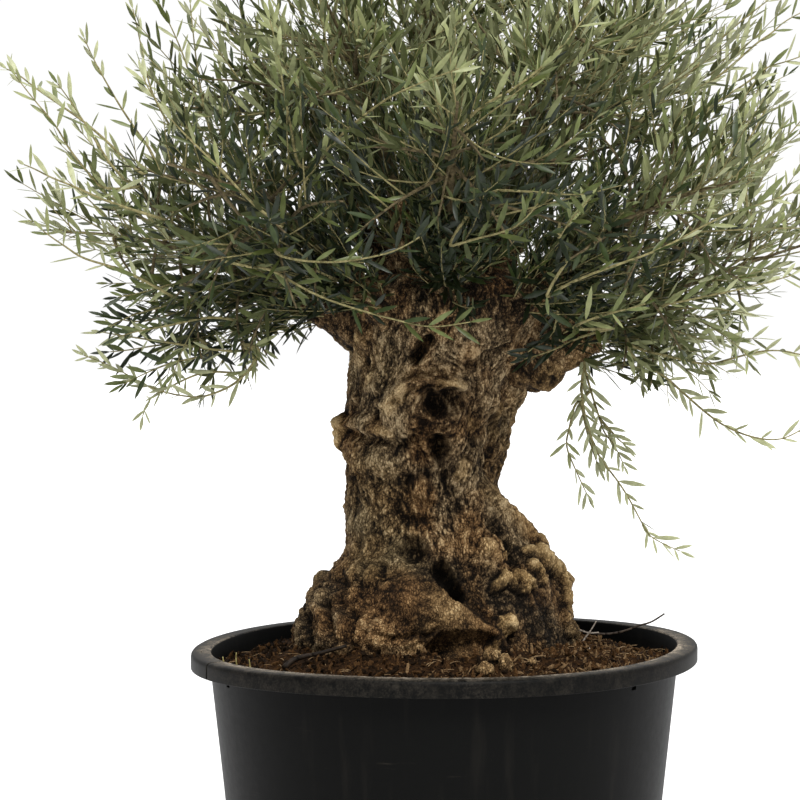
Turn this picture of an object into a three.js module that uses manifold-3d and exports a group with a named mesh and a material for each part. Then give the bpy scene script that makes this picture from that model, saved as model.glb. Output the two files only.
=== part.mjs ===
// Olive bonsai: an old, burled olive trunk with short thick boughs under a wide airy crown,
// standing in a black plastic nursery tub filled with soil.
// Millimetres, +Z up. The origin is on the floor under the middle of the tub, and -Y is the front of the tree.
import * as THREE from 'three';
import { mergeVertices } from 'three/addons/utils/BufferGeometryUtils.js';
import Module from 'manifold-3d';

// Tub: a tapered wall with a flat, turned-down rim
const TUB_HEIGHT = 500;
const RIM_RADIUS = 341;
const RIM_WIDTH = 27;
const RIM_DROP = 22.5;
const RIM_ROUNDING = 3;
const TUB_TOP_RADIUS = 317;
const TUB_BASE_RADIUS = 264;
const TUB_WALL = 4;
const TUB_FLOOR = 6;
const TUB_SIDES = 40;
const DRAIN_COUNT = 6;
const DRAIN_RADIUS = 11;
const DRAIN_CIRCLE = 205;
const DRAIN_SIDES = 8;

// Soil: level under the trunk, higher at the front edge than at the back
const SEAT = 0.3; // clearance between pieces that rest on or in each other
const GROUND = 492;
const SOIL_LEVEL_RADIUS = 244;
const SOIL_EDGE = 475;
const SOIL_EDGE_TILT = 18;

// Trunk: height above the ground, sideways place of its middle, and radius
const TRUNK_STATIONS = [
  { height: 0, middle: -8, radius: 190 },
  { height: 48, middle: -12, radius: 181 },
  { height: 98, middle: -3, radius: 159 },
  { height: 143, middle: 0, radius: 129 },
  { height: 183, middle: -16, radius: 112 },
  { height: 223, middle: -29, radius: 101 },
  { height: 293, middle: -26, radius: 106 },
  { height: 343, middle: -17, radius: 113 },
  { height: 393, middle: -8, radius: 118 },
  { height: 438, middle: 0, radius: 132 },
  { height: 478, middle: 2, radius: 139 },
  { height: 506, middle: 2, radius: 112 },
  { height: 520, middle: 2, radius: 52 },
];
const TRUNK_SIDES = 46;
const TRUNK_ROWS = 34;
const TRUNK_DEPTH = 0.95; // front-to-back radius over the sideways one
const TRUNK_LOBES = [
  { count: 2, share: 0.05, drift: 0.004 },
  { count: 3, share: -0.035, drift: -0.006 },
  { count: 5, share: 0.03, drift: 0.003 },
];
const FOOT_BLEND = 30; // height over which knobs near the ground lose their upward part

// Relief of the bark face. Each row has its path as [angle from the front in degrees, height above the ground],
// its half-width and how far it stands out of or sinks into the trunk.
const HOLLOWS = [
  { name: 'main knothole', path: [[-3, 338], [7, 339]], width: 25, size: 42 },
  { name: 'lower knothole', path: [[12, 269], [12, 284]], width: 13, size: 30 },
  { name: 'upper knothole', path: [[-13, 403], [-12, 415]], width: 14, size: 24 },
  { name: 'left crevice', path: [[-22, 142], [-20, 156]], width: 15, size: 20 },
  { name: 'deep crevice', path: [[2, 104], [0, 128]], width: 14, size: 30 },
  { name: 'burl crevice', path: [[27, 160], [38, 132]], width: 15, size: 18 },
  { name: 'crease under the band', path: [[-50, 297], [-24, 288], [2, 281]], width: 10, size: 11 },
  { name: 'root cave', path: [[0, 30], [14, 29]], width: 22, size: 22 },
];
const RIDGES = [
  { name: 'brow', path: [[-30, 318], [-22, 340], [-6, 362], [12, 366], [26, 350]], width: 19, size: 13 },
  { name: 'band', path: [[-80, 302], [-55, 309], [-30, 306], [-8, 296]], width: 20, size: 13 },
  { name: 'right rib', path: [[38, 343], [44, 280], [43, 211]], width: 22, size: 8 },
  { name: 'root ridge', path: [[58, 215], [70, 178], [79, 140]], width: 25, size: 16 },
  { name: 'buttress', path: [[-16, 92], [2, 66], [18, 36]], width: 46, size: 22 },
];
const KNOBS = [
  { at: [-82, 301], width: 24, size: 20 },
  { at: [-61, 429], width: 19, size: 9 },
  { at: [-46, 363], width: 21, size: 6 },
  { at: [4, 223], width: 19, size: 10 },
  { at: [24, 235], width: 22, size: 8 },
  { at: [48, 415], width: 22, size: 12 },
  { at: [23, 141], width: 18, size: 14 },
  { at: [51, 148], width: 14, size: 13 },
  { at: [64, 124], width: 26, size: 18 },
  { at: [80, 111], width: 19, size: 16 },
  { at: [34, 118], width: 20, size: 15 },
  { at: [47, 112], width: 18, size: 14 },
  { at: [26, 98], width: 21, size: 15 },
  { at: [44, 84], width: 23, size: 12 },
  { at: [29, 54], width: 17, size: 15 },
  { at: [79, 85], width: 19, size: 14 },
  { at: [80, 58], width: 18, size: 13 },
  { at: [20, 21], width: 19, size: 21 },
  { at: [17, 6], width: 17, size: 18 },
  { at: [-79, 107], width: 21, size: 15 },
  { at: [-71, 81], width: 21, size: 14 },
  { at: [-37, 120], width: 23, size: 13 },
  { at: [-53, 70], width: 23, size: 14 },
  { at: [-45, 87], width: 20, size: 12 },
  { at: [-72, 48], width: 19, size: 14 },
  { at: [-52, 42], width: 21, size: 14 },
  { at: [-37, 55], width: 20, size: 13 },
  { at: [-33, 35], width: 15, size: 12 },
];
const BACK_KNOBS = { count: 26, from: 96, to: 264, lowest: 8, highest: 132, width: 18, size: 13 };
const KNOB_POWER = 0.6;
const RIDGE_POWER = 1.5;
const HOLLOW_POWER = 1;

// Crown: its outline is an ellipsoid, and every limb grows from the heart inside the trunk's head
const HEART = new THREE.Vector3(0, 0, GROUND + 438);
const CROWN = new THREE.Vector3(-5, 0, 1115);
const CROWN_REACH = new THREE.Vector3(590, 570, 385);
const CROWN_SLACK = 1.05;
const LOWEST_SIDE = -17; // lowest elevation of foliage from the heart, in degrees, at the sides and back
const LOWEST_FRONT = 12; // and at the front, where the trunk's head shows

// Boughs: azimuth from +X and elevation in degrees, length from the heart, radius at the heart and at the tip.
// The right one starts lower and sags at its tip.
const BOUGHS = [
  { name: 'right', azimuth: 0, elevation: 13, length: 208, thick: 50, thin: 26, drop: 74, sag: 50 },
  { name: 'back_right', azimuth: 47, elevation: 13, length: 230, thick: 36, thin: 16 },
  { name: 'back', azimuth: 94, elevation: 14, length: 225, thick: 38, thin: 16 },
  { name: 'back_left', azimuth: 139, elevation: 13, length: 230, thick: 36, thin: 16 },
  { name: 'left', azimuth: 183, elevation: 14, length: 235, thick: 42, thin: 17 },
  { name: 'front_left', azimuth: 227, elevation: 22, length: 225, thick: 34, thin: 14 },
  { name: 'front', azimuth: 271, elevation: 30, length: 215, thick: 30, thin: 13 },
  { name: 'front_right', azimuth: 315, elevation: 20, length: 225, thick: 34, thin: 14 },
  { name: 'upper_right', azimuth: 22, elevation: 53, length: 220, thick: 28, thin: 13 },
  { name: 'upper_back', azimuth: 94, elevation: 53, length: 215, thick: 28, thin: 13 },
  { name: 'upper_left', azimuth: 166, elevation: 53, length: 220, thick: 28, thin: 13 },
  { name: 'upper_front_left', azimuth: 236, elevation: 56, length: 210, thick: 26, thin: 12 },
  { name: 'upper_front_right', azimuth: 308, elevation: 55, length: 210, thick: 26, thin: 12 },
  { name: 'top', azimuth: 150, elevation: 87, length: 230, thick: 28, thin: 13 },
];
const BOUGH_SIDES = 7;
const BOUGH_STEPS = 4;
const BOUGH_DROP = 22; // a bough leaves the trunk level, this far under the heart, and then rises

// Foliage: one stem from each bough's tip, with twigs that end on the crown's outline
const GOLDEN_ANGLE = Math.PI * (3 - Math.sqrt(5));
const STEM_SHARE = 0.86; // the stem's end, as a share of the reach from heart to outline
const STEM_INSET = 2; // how much thinner than its bough's tip a stem is
const SHARED_STEM = { radius: 10, rise: 9 }; // on the right bough, whose tip also carries the hanging sprays
const STEM_TIP_RADIUS = 3;
const STEM_SIDES = 5;
const STEM_STEPS = 4;
const TWIG_TRIES = 14;
const TWIG_CONE = 33; // half-angle of a mass's fan of twigs, in degrees
const TWIG_RADIUS = 4.2;
const TWIG_TIP_RADIUS = 1.8;
const TWIG_SIDES = 3;
const TWIG_STEPS = 2;
const TWIG_LOW = 0.12; // where the outermost twigs leave the stem, as a share of its length
const TWIG_HIGH = 0.9; // and the innermost
const TWIG_BULGE = 0.16; // how far a twig follows the stem before it turns out
const REACH_LEAST = 0.86;
const REACH_SPREAD = 0.17;
const CELL_MARGIN = 2; // half the space kept between two masses
const LIMB_MARGIN = 4;

// Leaves: lance-shaped, each standing for a spray of the small real ones
const LEAF_LENGTH = 126;
const LEAF_WIDTH = 30;
const LEAF_THICKNESS = 4;
const LEAF_SINK = 2;
const LEAF_SPREAD = 36; // angle between a leaf and its twig, in degrees
const LEAF_NODES = [0.42, 0.72]; // places of the leaf pairs, as shares of the twig's length
const TIP_LEAF_ROOT = 0.985;

// Hanging sprays: thin shoots that fall from the right bough's tip under the crown
const HANG_INSET = 14; // below the middle of the bough's tip
const HANG_RADIUS = 5;
const HANG_END = new THREE.Vector3(222, -20, 838);
const HANG_TARGETS = [
  { name: 'long trail', tip: new THREE.Vector3(333, -60, 622), sag: 26 },
  { name: 'inner trail', tip: new THREE.Vector3(196, -50, 706), sag: -14 },
  { name: 'outer trail', tip: new THREE.Vector3(262, -10, 768), sag: 12 },
  { name: 'left trail', tip: new THREE.Vector3(136, -40, 752), sag: -12 },
];
const HANG_NODES = [0.45, 0.8];
const HANG_LEAF = 0.5; // leaves on the sprays against the crown's

const wasm = await Module();
wasm.setup();

const bark = new THREE.MeshStandardMaterial({ color: 0x5d4632, roughness: 0.95, metalness: 0 });
const foliage = new THREE.MeshStandardMaterial({ color: 0x4d5a38, roughness: 0.6, metalness: 0 });
const earth = new THREE.MeshStandardMaterial({ color: 0x3a2618, roughness: 1, metalness: 0 });
const plastic = new THREE.MeshStandardMaterial({ color: 0x17181a, roughness: 0.55, metalness: 0 });

// Solids

// A closed geometry as a solid that can be joined and cut.
function solidFrom(geometry) {
  const bare = new THREE.BufferGeometry();
  bare.setAttribute('position', geometry.getAttribute('position'));
  bare.setIndex(geometry.getIndex());
  const merged = mergeVertices(bare, 1e-3);
  const vertProperties = new Float32Array(merged.getAttribute('position').array);
  const triVerts = new Uint32Array(merged.getIndex().array);
  return new wasm.Manifold(new wasm.Mesh({ numProp: 3, vertProperties, triVerts }));
}

// The largest body of a solid: loose scraps and sealed hollows are dropped.
function largestBody(solid) {
  return solid.decompose().reduce((best, body) => (body.volume() > best.volume() ? body : best));
}

function geometryFrom(solid) {
  const { vertProperties, triVerts } = solid.getMesh();
  const geometry = new THREE.BufferGeometry();
  geometry.setAttribute('position', new THREE.BufferAttribute(vertProperties, 3));
  geometry.setIndex(new THREE.BufferAttribute(triVerts, 1));
  geometry.computeVertexNormals();
  return geometry;
}

function fuse(geometries) {
  return largestBody(wasm.Manifold.union(geometries.map(solidFrom)));
}

function namedMesh(name, geometry, material) {
  const mesh = new THREE.Mesh(geometry, material);
  mesh.name = name;
  return mesh;
}

// Small maths

const radians = THREE.MathUtils.degToRad;

// A repeatable number from 0 to 1 for three whole numbers.
function chance(a, b, c) {
  const wave = Math.sin(a * 127.1 + b * 311.7 + c * 74.7) * 43758.5453;
  return wave - Math.floor(wave);
}

function directionOf(azimuth, elevation) {
  const flat = Math.cos(radians(elevation));
  return new THREE.Vector3(
    flat * Math.cos(radians(azimuth)), flat * Math.sin(radians(azimuth)), Math.sin(radians(elevation)));
}

// A smooth curve through one value of a list of stations, by height.
function stationValue(stations, key, height) {
  const last = stations.length - 1;
  let i = 0;
  while (i < last - 1 && height > stations[i + 1].height) i += 1;
  const slope = (k) => {
    const before = stations[Math.max(k - 1, 0)];
    const after = stations[Math.min(k + 1, last)];
    return (after[key] - before[key]) / (after.height - before.height);
  };
  const span = stations[i + 1].height - stations[i].height;
  const u = THREE.MathUtils.clamp((height - stations[i].height) / span, 0, 1);
  const rise = u * u * (3 - 2 * u);
  return stations[i][key] * (1 - rise) + stations[i + 1][key] * rise
    + span * (slope(i) * u * (1 - u) ** 2 - slope(i + 1) * u * u * (1 - u));
}

// A direction across another one, close to level.
function acrossOf(direction) {
  return new THREE.Vector3(0.05, 0.03, 1).cross(direction).normalize();
}

// Distance from a point to a chain of straight stretches.
function distanceToPath(point, path) {
  if (path.length === 1) return point.distanceTo(path[0]);
  const nearest = new THREE.Vector3();
  let least = Infinity;
  for (let i = 1; i < path.length; i += 1) {
    new THREE.Line3(path[i - 1], path[i]).closestPointToPoint(point, true, nearest);
    least = Math.min(least, point.distanceTo(nearest));
  }
  return least;
}

// A tapering round limb along a curve, closed at both ends.
function limb(curve, thick, thin, sides, steps) {
  const geometry = new THREE.CylinderGeometry(1, 1, 1, sides, steps);
  const frames = curve.computeFrenetFrames(steps, false);
  const place = geometry.getAttribute('position');
  for (let i = 0; i < place.count; i += 1) {
    const along = place.getY(i) + 0.5;
    const step = Math.round(along * steps);
    const radius = THREE.MathUtils.lerp(thick, thin, along);
    const point = curve.getPoint(along)
      .addScaledVector(frames.normals[step], place.getX(i) * radius)
      .addScaledVector(frames.binormals[step], -place.getZ(i) * radius);
    place.setXYZ(i, point.x, point.y, point.z);
  }
  return geometry;
}

// Tub and soil

function tubInnerRadius(height) {
  return THREE.MathUtils.lerp(TUB_BASE_RADIUS, TUB_TOP_RADIUS, height / TUB_HEIGHT) - TUB_WALL;
}

function makeTub() {
  const lipUnder = TUB_HEIGHT - TUB_WALL;
  const lipInside = RIM_RADIUS - RIM_WIDTH;
  const skirtFoot = TUB_HEIGHT - RIM_DROP;
  const profile = [
    [0, 0],
    [TUB_BASE_RADIUS - RIM_ROUNDING, 0],
    [TUB_BASE_RADIUS, RIM_ROUNDING],
    [TUB_TOP_RADIUS, lipUnder],
    [RIM_RADIUS - TUB_WALL, lipUnder],
    [RIM_RADIUS - TUB_WALL, skirtFoot],
    [RIM_RADIUS, skirtFoot],
    [RIM_RADIUS, TUB_HEIGHT - RIM_ROUNDING],
    [RIM_RADIUS - RIM_ROUNDING, TUB_HEIGHT],
    [lipInside, TUB_HEIGHT],
    [tubInnerRadius(TUB_HEIGHT - RIM_ROUNDING), TUB_HEIGHT - RIM_ROUNDING],
    [tubInnerRadius(TUB_FLOOR), TUB_FLOOR],
    [0, TUB_FLOOR],
  ].map(([radius, height]) => new THREE.Vector2(radius, height));
  const shell = new THREE.LatheGeometry(profile, TUB_SIDES).rotateX(Math.PI / 2);
  const drains = [];
  for (let i = 0; i < DRAIN_COUNT; i += 1) {
    const angle = (i + 0.5) * 2 * Math.PI / DRAIN_COUNT;
    const drain = new THREE.CylinderGeometry(DRAIN_RADIUS, DRAIN_RADIUS, 4 * TUB_FLOOR, DRAIN_SIDES)
      .rotateX(Math.PI / 2)
      .translate(DRAIN_CIRCLE * Math.cos(angle), DRAIN_CIRCLE * Math.sin(angle), 0);
    drains.push(solidFrom(drain));
  }
  return geometryFrom(solidFrom(shell).subtract(wasm.Manifold.union(drains)));
}

function makeSoil() {
  const floor = TUB_FLOOR + SEAT;
  const level = GROUND - SEAT;
  const profile = [
    [0, floor],
    [tubInnerRadius(floor) - SEAT, floor],
    [tubInnerRadius(SOIL_EDGE) - SEAT, SOIL_EDGE],
    [SOIL_LEVEL_RADIUS, level],
    [0, level],
  ].map(([radius, height]) => new THREE.Vector2(radius, height));
  const geometry = new THREE.LatheGeometry(profile, TUB_SIDES).rotateX(Math.PI / 2);
  const place = geometry.getAttribute('position');
  for (let i = 0; i < place.count; i += 1) {
    const radius = Math.hypot(place.getX(i), place.getY(i));
    if (Math.abs(place.getZ(i) - SOIL_EDGE) > 1e-3) continue;
    const height = SOIL_EDGE - SOIL_EDGE_TILT * place.getY(i) / radius;
    const inside = (tubInnerRadius(height) - SEAT) / radius;
    place.setXYZ(i, place.getX(i) * inside, place.getY(i) * inside, height);
  }
  return geometry;
}

// Trunk

// Point of the bare trunk: its middle at that height plus a lobed radius. The angle runs from +X towards +Y.
function trunkCore(angle, height) {
  const lobes = TRUNK_LOBES.reduce(
    (sum, lobe) => sum + lobe.share * Math.sin(lobe.count * angle) * Math.cos(lobe.drift * height), 1);
  const radius = stationValue(TRUNK_STATIONS, 'radius', height) * lobes;
  const middle = stationValue(TRUNK_STATIONS, 'middle', height);
  return new THREE.Vector3(
    middle + radius * Math.cos(angle), TRUNK_DEPTH * radius * Math.sin(angle), GROUND + height);
}

function trunkNormal(angle, height) {
  const step = 0.01;
  const round = trunkCore(angle + step, height).sub(trunkCore(angle - step, height));
  const upward = trunkCore(angle, height + 1).sub(trunkCore(angle, height - 1));
  return round.cross(upward).normalize();
}

// A feature's path on the trunk's face, from angles that are counted from the front.
function pathOnTrunk(path) {
  return path.map(([fromFront, height]) => trunkCore(radians(fromFront - 90), height));
}

function backKnobs() {
  const knobs = [];
  for (let k = 0; k < BACK_KNOBS.count; k += 1) {
    const size = 0.75 + 0.5 * chance(k, 3, 1);
    knobs.push({
      at: [
        THREE.MathUtils.lerp(BACK_KNOBS.from, BACK_KNOBS.to, chance(k, 1, 1)),
        THREE.MathUtils.lerp(BACK_KNOBS.lowest, BACK_KNOBS.highest, chance(k, 2, 1)),
      ],
      width: BACK_KNOBS.width * size,
      size: BACK_KNOBS.size * size,
    });
  }
  return knobs;
}

const raised = [
  ...RIDGES.map((row) => ({ ...row, points: pathOnTrunk(row.path), power: RIDGE_POWER })),
  ...[...KNOBS, ...backKnobs()].map((row) => ({ ...row, points: pathOnTrunk([row.at]), power: KNOB_POWER })),
];
const sunken = HOLLOWS.map((row) => ({ ...row, points: pathOnTrunk(row.path), power: HOLLOW_POWER }));

// The strongest of a list of features at a point: neighbouring knobs meet in a crease.
function relief(point, features) {
  return features.reduce((most, { points, width, size, power }) => {
    const share = distanceToPath(point, points) / width;
    return share < 1 ? Math.max(most, size * (1 - share * share) ** power) : most;
  }, 0);
}

function trunkPoint(angle, height, swell) {
  const core = trunkCore(angle, height);
  const outward = trunkNormal(angle, height);
  const offset = relief(core, raised) - relief(core, sunken) + swell;
  const lift = THREE.MathUtils.smoothstep(height, 0, FOOT_BLEND);
  outward.z *= lift;
  const point = core.addScaledVector(outward, offset);
  point.z = Math.max(point.z, GROUND + height * (1 - lift));
  return point;
}

// The trunk as a closed solid. A swell above zero makes a slightly larger copy that limbs are cut clear with.
function makeTrunk(swell) {
  const geometry = new THREE.CylinderGeometry(1, 1, 1, TRUNK_SIDES, TRUNK_ROWS);
  const top = TRUNK_STATIONS.at(-1).height;
  const place = geometry.getAttribute('position');
  for (let i = 0; i < place.count; i += 1) {
    const height = (place.getY(i) + 0.5) * top;
    const onAxis = Math.hypot(place.getX(i), place.getZ(i)) < 0.5;
    const middle = new THREE.Vector3(
      stationValue(TRUNK_STATIONS, 'middle', height), 0, GROUND + height + (height > 0 ? swell : 0));
    const angle = Math.atan2(-place.getZ(i), place.getX(i));
    const point = onAxis ? middle : trunkPoint(angle, height, swell);
    place.setXYZ(i, point.x, point.y, point.z);
  }
  return geometry;
}

// Boughs

const masses = BOUGHS.map((bough) => ({ ...bough, direction: directionOf(bough.azimuth, bough.elevation) }));

// A bough leaves the trunk level and bends up to its own direction from the heart.
function boughCurve({ direction, length, drop = BOUGH_DROP, sag = 0 }) {
  const down = new THREE.Vector3(0, 0, -1);
  const root = HEART.clone().addScaledVector(down, drop * (1 - direction.z));
  const tip = HEART.clone().addScaledVector(direction, length).addScaledVector(down, sag);
  const level = new THREE.Vector3(direction.x, direction.y, direction.z * 0.6).multiplyScalar(0.55 * length);
  return new THREE.QuadraticBezierCurve3(root, root.clone().add(level), tip);
}

// The downward direction in the plane of a bough's cut tip.
function tipDown(curve) {
  const tangent = curve.getTangent(1);
  return new THREE.Vector3(0, 0, -1).addScaledVector(tangent, tangent.z).normalize();
}

function makeBough(bough, trunkClear) {
  const solid = solidFrom(limb(boughCurve(bough), bough.thick, bough.thin, BOUGH_SIDES, BOUGH_STEPS));
  return geometryFrom(largestBody(solid.subtract(trunkClear)));
}

// Foliage

// Distance from the heart to the crown's outline in a direction.
function crownReach(direction) {
  const from = HEART.clone().sub(CROWN).divide(CROWN_REACH);
  const ray = direction.clone().divide(CROWN_REACH);
  const a = ray.dot(ray);
  const b = from.dot(ray);
  const c = from.dot(from) - 1;
  return (-b + Math.sqrt(b * b - a * c)) / a;
}

// Lowest elevation of the foliage, in radians: it lifts towards the front.
function lowestElevation(azimuth) {
  const front = Math.max(0, -Math.sin(azimuth)) ** 1.5;
  return radians(THREE.MathUtils.lerp(LOWEST_SIDE, LOWEST_FRONT, front));
}

// Whether a point lies in a mass's own space: nearest to its direction, over the lowest elevation
// and in the crown.
function inSpace(mass, point) {
  const from = point.clone().sub(HEART);
  const distance = from.length();
  const elevation = Math.asin(from.z / distance);
  if (elevation < lowestElevation(Math.atan2(from.y, from.x))) return false;
  if (distance > CROWN_SLACK * crownReach(from.clone().divideScalar(distance))) return false;
  return masses.every((other) => {
    if (other.name === mass.name) return true;
    const across = mass.direction.clone().sub(other.direction).normalize();
    return from.dot(across) > CELL_MARGIN;
  });
}

const limbPaths = masses.map((bough) => ({
  points: boughCurve(bough).getPoints(BOUGH_STEPS), radius: bough.thick,
}));

function clearOfLimbs(point, paths) {
  return paths.every(({ points, radius }) => distanceToPath(point, points) > radius + LIMB_MARGIN);
}

// A lance-shaped leaf of eight faces from its root along a direction, its flat side turned to face another.
function leaf(root, direction, facing, size) {
  const sideways = facing.clone().cross(direction).normalize();
  const upward = direction.clone().cross(sideways);
  const middle = root.clone().addScaledVector(direction, size * LEAF_LENGTH / 2 - LEAF_SINK);
  const turn = new THREE.Matrix4().makeBasis(direction, sideways, upward).setPosition(middle);
  const blade = new THREE.OctahedronGeometry(1, 0)
    .scale(size * LEAF_LENGTH / 2, size * LEAF_WIDTH / 2, size * LEAF_THICKNESS / 2)
    .applyMatrix4(turn);
  const half = sideways.multiplyScalar(size * LEAF_WIDTH / 2);
  const tip = middle.clone().addScaledVector(direction, size * LEAF_LENGTH / 2);
  return { blade, corners: [tip, middle.clone().add(half), middle.clone().sub(half)] };
}

// Opposite pairs of leaves at the twig's nodes, each pair turned a quarter from the last,
// and one leaf at its tip.
function leavesOn(curve, nodes, size, fits) {
  const blades = [];
  const lean = radians(LEAF_SPREAD);
  const add = (root, direction, facing) => {
    const { blade, corners } = leaf(root, direction, facing, size);
    if (corners.every(fits)) blades.push(blade);
  };
  nodes.forEach((along, n) => {
    const tangent = curve.getTangent(along);
    const across = acrossOf(tangent);
    if (n % 2) across.applyAxisAngle(tangent, Math.PI / 2);
    for (const hand of [1, -1]) {
      const direction = tangent.clone().multiplyScalar(Math.cos(lean))
        .addScaledVector(across, hand * Math.sin(lean)).normalize();
      add(curve.getPoint(along), direction, tangent);
    }
  });
  const end = curve.getTangent(1);
  add(curve.getPoint(TIP_LEAF_ROOT), end, acrossOf(end));
  return blades;
}

// The stem goes straight on from its bough's tip towards the crown's outline.
function stemCurve(mass) {
  const bough = boughCurve(mass);
  const root = bough.getPoint(1).addScaledVector(bough.getTangent(1), SEAT)
    .addScaledVector(tipDown(bough), mass.name === 'right' ? -SHARED_STEM.rise : 0);
  const tip = HEART.clone().addScaledVector(mass.direction, STEM_SHARE * crownReach(mass.direction));
  const middle = root.clone().addScaledVector(bough.getTangent(1), 0.5 * root.distanceTo(tip));
  return new THREE.QuadraticBezierCurve3(root, middle, tip);
}

// Twig number k of a mass: its tip is one point of an even spiral over the mass's part of the outline.
function twigCurve(mass, index, k, stem) {
  const share = Math.sqrt((k + 0.5) / TWIG_TRIES);
  const tilt = radians(TWIG_CONE) * share;
  const turn = k * GOLDEN_ANGLE + index;
  const first = acrossOf(mass.direction);
  const second = mass.direction.clone().cross(first);
  const outward = mass.direction.clone().multiplyScalar(Math.cos(tilt))
    .addScaledVector(first, Math.sin(tilt) * Math.cos(turn))
    .addScaledVector(second, Math.sin(tilt) * Math.sin(turn));
  const reach = crownReach(outward) * (REACH_LEAST + REACH_SPREAD * chance(index, k, 1));
  const tip = HEART.clone().addScaledVector(outward, reach);
  const root = stem.getPoint(THREE.MathUtils.lerp(TWIG_HIGH, TWIG_LOW, share));
  const bulge = TWIG_BULGE * root.distanceTo(tip);
  const middle = root.clone().lerp(tip, 0.5).addScaledVector(mass.direction, bulge);
  return new THREE.QuadraticBezierCurve3(root, middle, tip);
}

function makeMass(mass, index, limbs) {
  const fits = (point) => inSpace(mass, point) && clearOfLimbs(point, limbs);
  const stem = stemCurve(mass);
  const stemRadius = mass.name === 'right' ? SHARED_STEM.radius : mass.thin - STEM_INSET;
  const pieces = [limb(stem, stemRadius, STEM_TIP_RADIUS, STEM_SIDES, STEM_STEPS)];
  pieces.push(...leavesOn(stem, [0.8], 1, fits));
  for (let k = 0; k < TWIG_TRIES; k += 1) {
    const twig = twigCurve(mass, index, k, stem);
    if (!fits(twig.getPoint(1)) || !fits(twig.getPoint(0.6))) continue;
    pieces.push(limb(twig, TWIG_RADIUS, TWIG_TIP_RADIUS, TWIG_SIDES, TWIG_STEPS));
    pieces.push(...leavesOn(twig, LEAF_NODES, 1, fits));
  }
  return geometryFrom(fuse(pieces));
}

// Hanging sprays

function hangingStem() {
  const bough = boughCurve(masses[0]);
  const tangent = bough.getTangent(1);
  const root = bough.getPoint(1).addScaledVector(tangent, SEAT).addScaledVector(tipDown(bough), HANG_INSET);
  const middle = root.clone().addScaledVector(tangent, 60);
  return new THREE.QuadraticBezierCurve3(root, middle, HANG_END);
}

function makeHangingSprays(stem) {
  const lowest = (point) => point.z < HEART.z - Math.hypot(point.x, point.y) * Math.tan(radians(-LOWEST_SIDE));
  const pieces = [limb(stem, HANG_RADIUS, TWIG_RADIUS, STEM_SIDES, STEM_STEPS)];
  HANG_TARGETS.forEach(({ tip, sag }) => {
    const root = stem.getPoint(0.96);
    const middle = root.clone().lerp(tip, 0.5).add(new THREE.Vector3(sag, 0, -sag / 2));
    const trail = new THREE.QuadraticBezierCurve3(root, middle, tip);
    pieces.push(limb(trail, TWIG_RADIUS * 0.8, TWIG_TIP_RADIUS, TWIG_SIDES, TWIG_STEPS + 1));
    pieces.push(...leavesOn(trail, HANG_NODES, HANG_LEAF, lowest));
  });
  return geometryFrom(fuse(pieces));
}

// The whole plant

const tree = new THREE.Group();
tree.add(namedMesh('tub', makeTub(), plastic));
tree.add(namedMesh('soil', makeSoil(), earth));
tree.add(namedMesh('trunk', makeTrunk(0), bark));

const trunkClear = solidFrom(makeTrunk(SEAT));
const hanging = hangingStem();
const hangingLimb = { points: hanging.getPoints(STEM_STEPS), radius: HANG_RADIUS };
masses.forEach((mass, index) => {
  const limbs = mass.name === 'right' ? [...limbPaths, hangingLimb] : limbPaths;
  tree.add(namedMesh(`bough_${mass.name}`, makeBough(mass, trunkClear), bark));
  tree.add(namedMesh(`foliage_${mass.name}`, makeMass(mass, index, limbs), foliage));
});
tree.add(namedMesh('foliage_hanging', makeHangingSprays(hanging), foliage));

export default tree;
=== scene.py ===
"""Olive bonsai in a black nursery tub: bark, leaves, soil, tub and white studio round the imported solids."""

import math
from types import SimpleNamespace

import bpy
import numpy as np
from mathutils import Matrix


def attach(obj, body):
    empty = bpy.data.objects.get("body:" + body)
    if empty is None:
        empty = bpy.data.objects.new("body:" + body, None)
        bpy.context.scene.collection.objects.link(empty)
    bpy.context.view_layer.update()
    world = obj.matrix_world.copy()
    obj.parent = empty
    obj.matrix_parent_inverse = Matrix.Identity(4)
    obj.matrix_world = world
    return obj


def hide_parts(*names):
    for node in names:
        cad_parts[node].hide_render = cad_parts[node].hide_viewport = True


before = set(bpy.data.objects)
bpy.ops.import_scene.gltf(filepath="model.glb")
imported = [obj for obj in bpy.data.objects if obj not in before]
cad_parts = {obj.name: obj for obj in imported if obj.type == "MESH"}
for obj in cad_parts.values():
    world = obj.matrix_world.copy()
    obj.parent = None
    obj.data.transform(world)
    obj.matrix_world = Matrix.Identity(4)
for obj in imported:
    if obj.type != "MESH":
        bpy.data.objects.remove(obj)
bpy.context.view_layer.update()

# Full turns in radians, as near as the chance angles of the litter and the crown need
LITTER_TURN = 6.2832
CROWN_TURN = 6.28

# Sizes are in metres, in the part's frame: +Z up, the front of the tree towards -Y
TUB_HEIGHT = 0.500
RIM_RADIUS = 0.341
RIM_WIDTH = 0.027
RIM_DROP = 0.0225
RIM_SLOPE = 0.014
SLOT_HEIGHT = 0.4695
SLOT_HALF = 0.0032
TUB_TOP_RADIUS = 0.317
TUB_BASE_RADIUS = 0.264
TUB_WALL = 0.004
TUB_FLOOR = 0.006
TUB_HUB = 0.02
TUB_COLUMNS = 192
LIP_INSIDE = RIM_RADIUS - RIM_WIDTH
LEAST_ROUNDING = 0.0005

# Degrees round the tub: the joint in its rim, the slots in its wall and the columns at their edges
RIM_JOINT = 204.9
JOINT_DEPTH = 0.0028
JOINT_COLUMNS = (-0.62, -0.40, -0.22, 0.22, 0.40, 0.62)
WALL_SLOTS = (206.0, 320.0, 339.0)
SLOT_DEPTH = 0.006
SLOT_EASE = 0.0006
SLOT_COLUMNS = (-0.85, -0.75, 0.75, 0.85)

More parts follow.
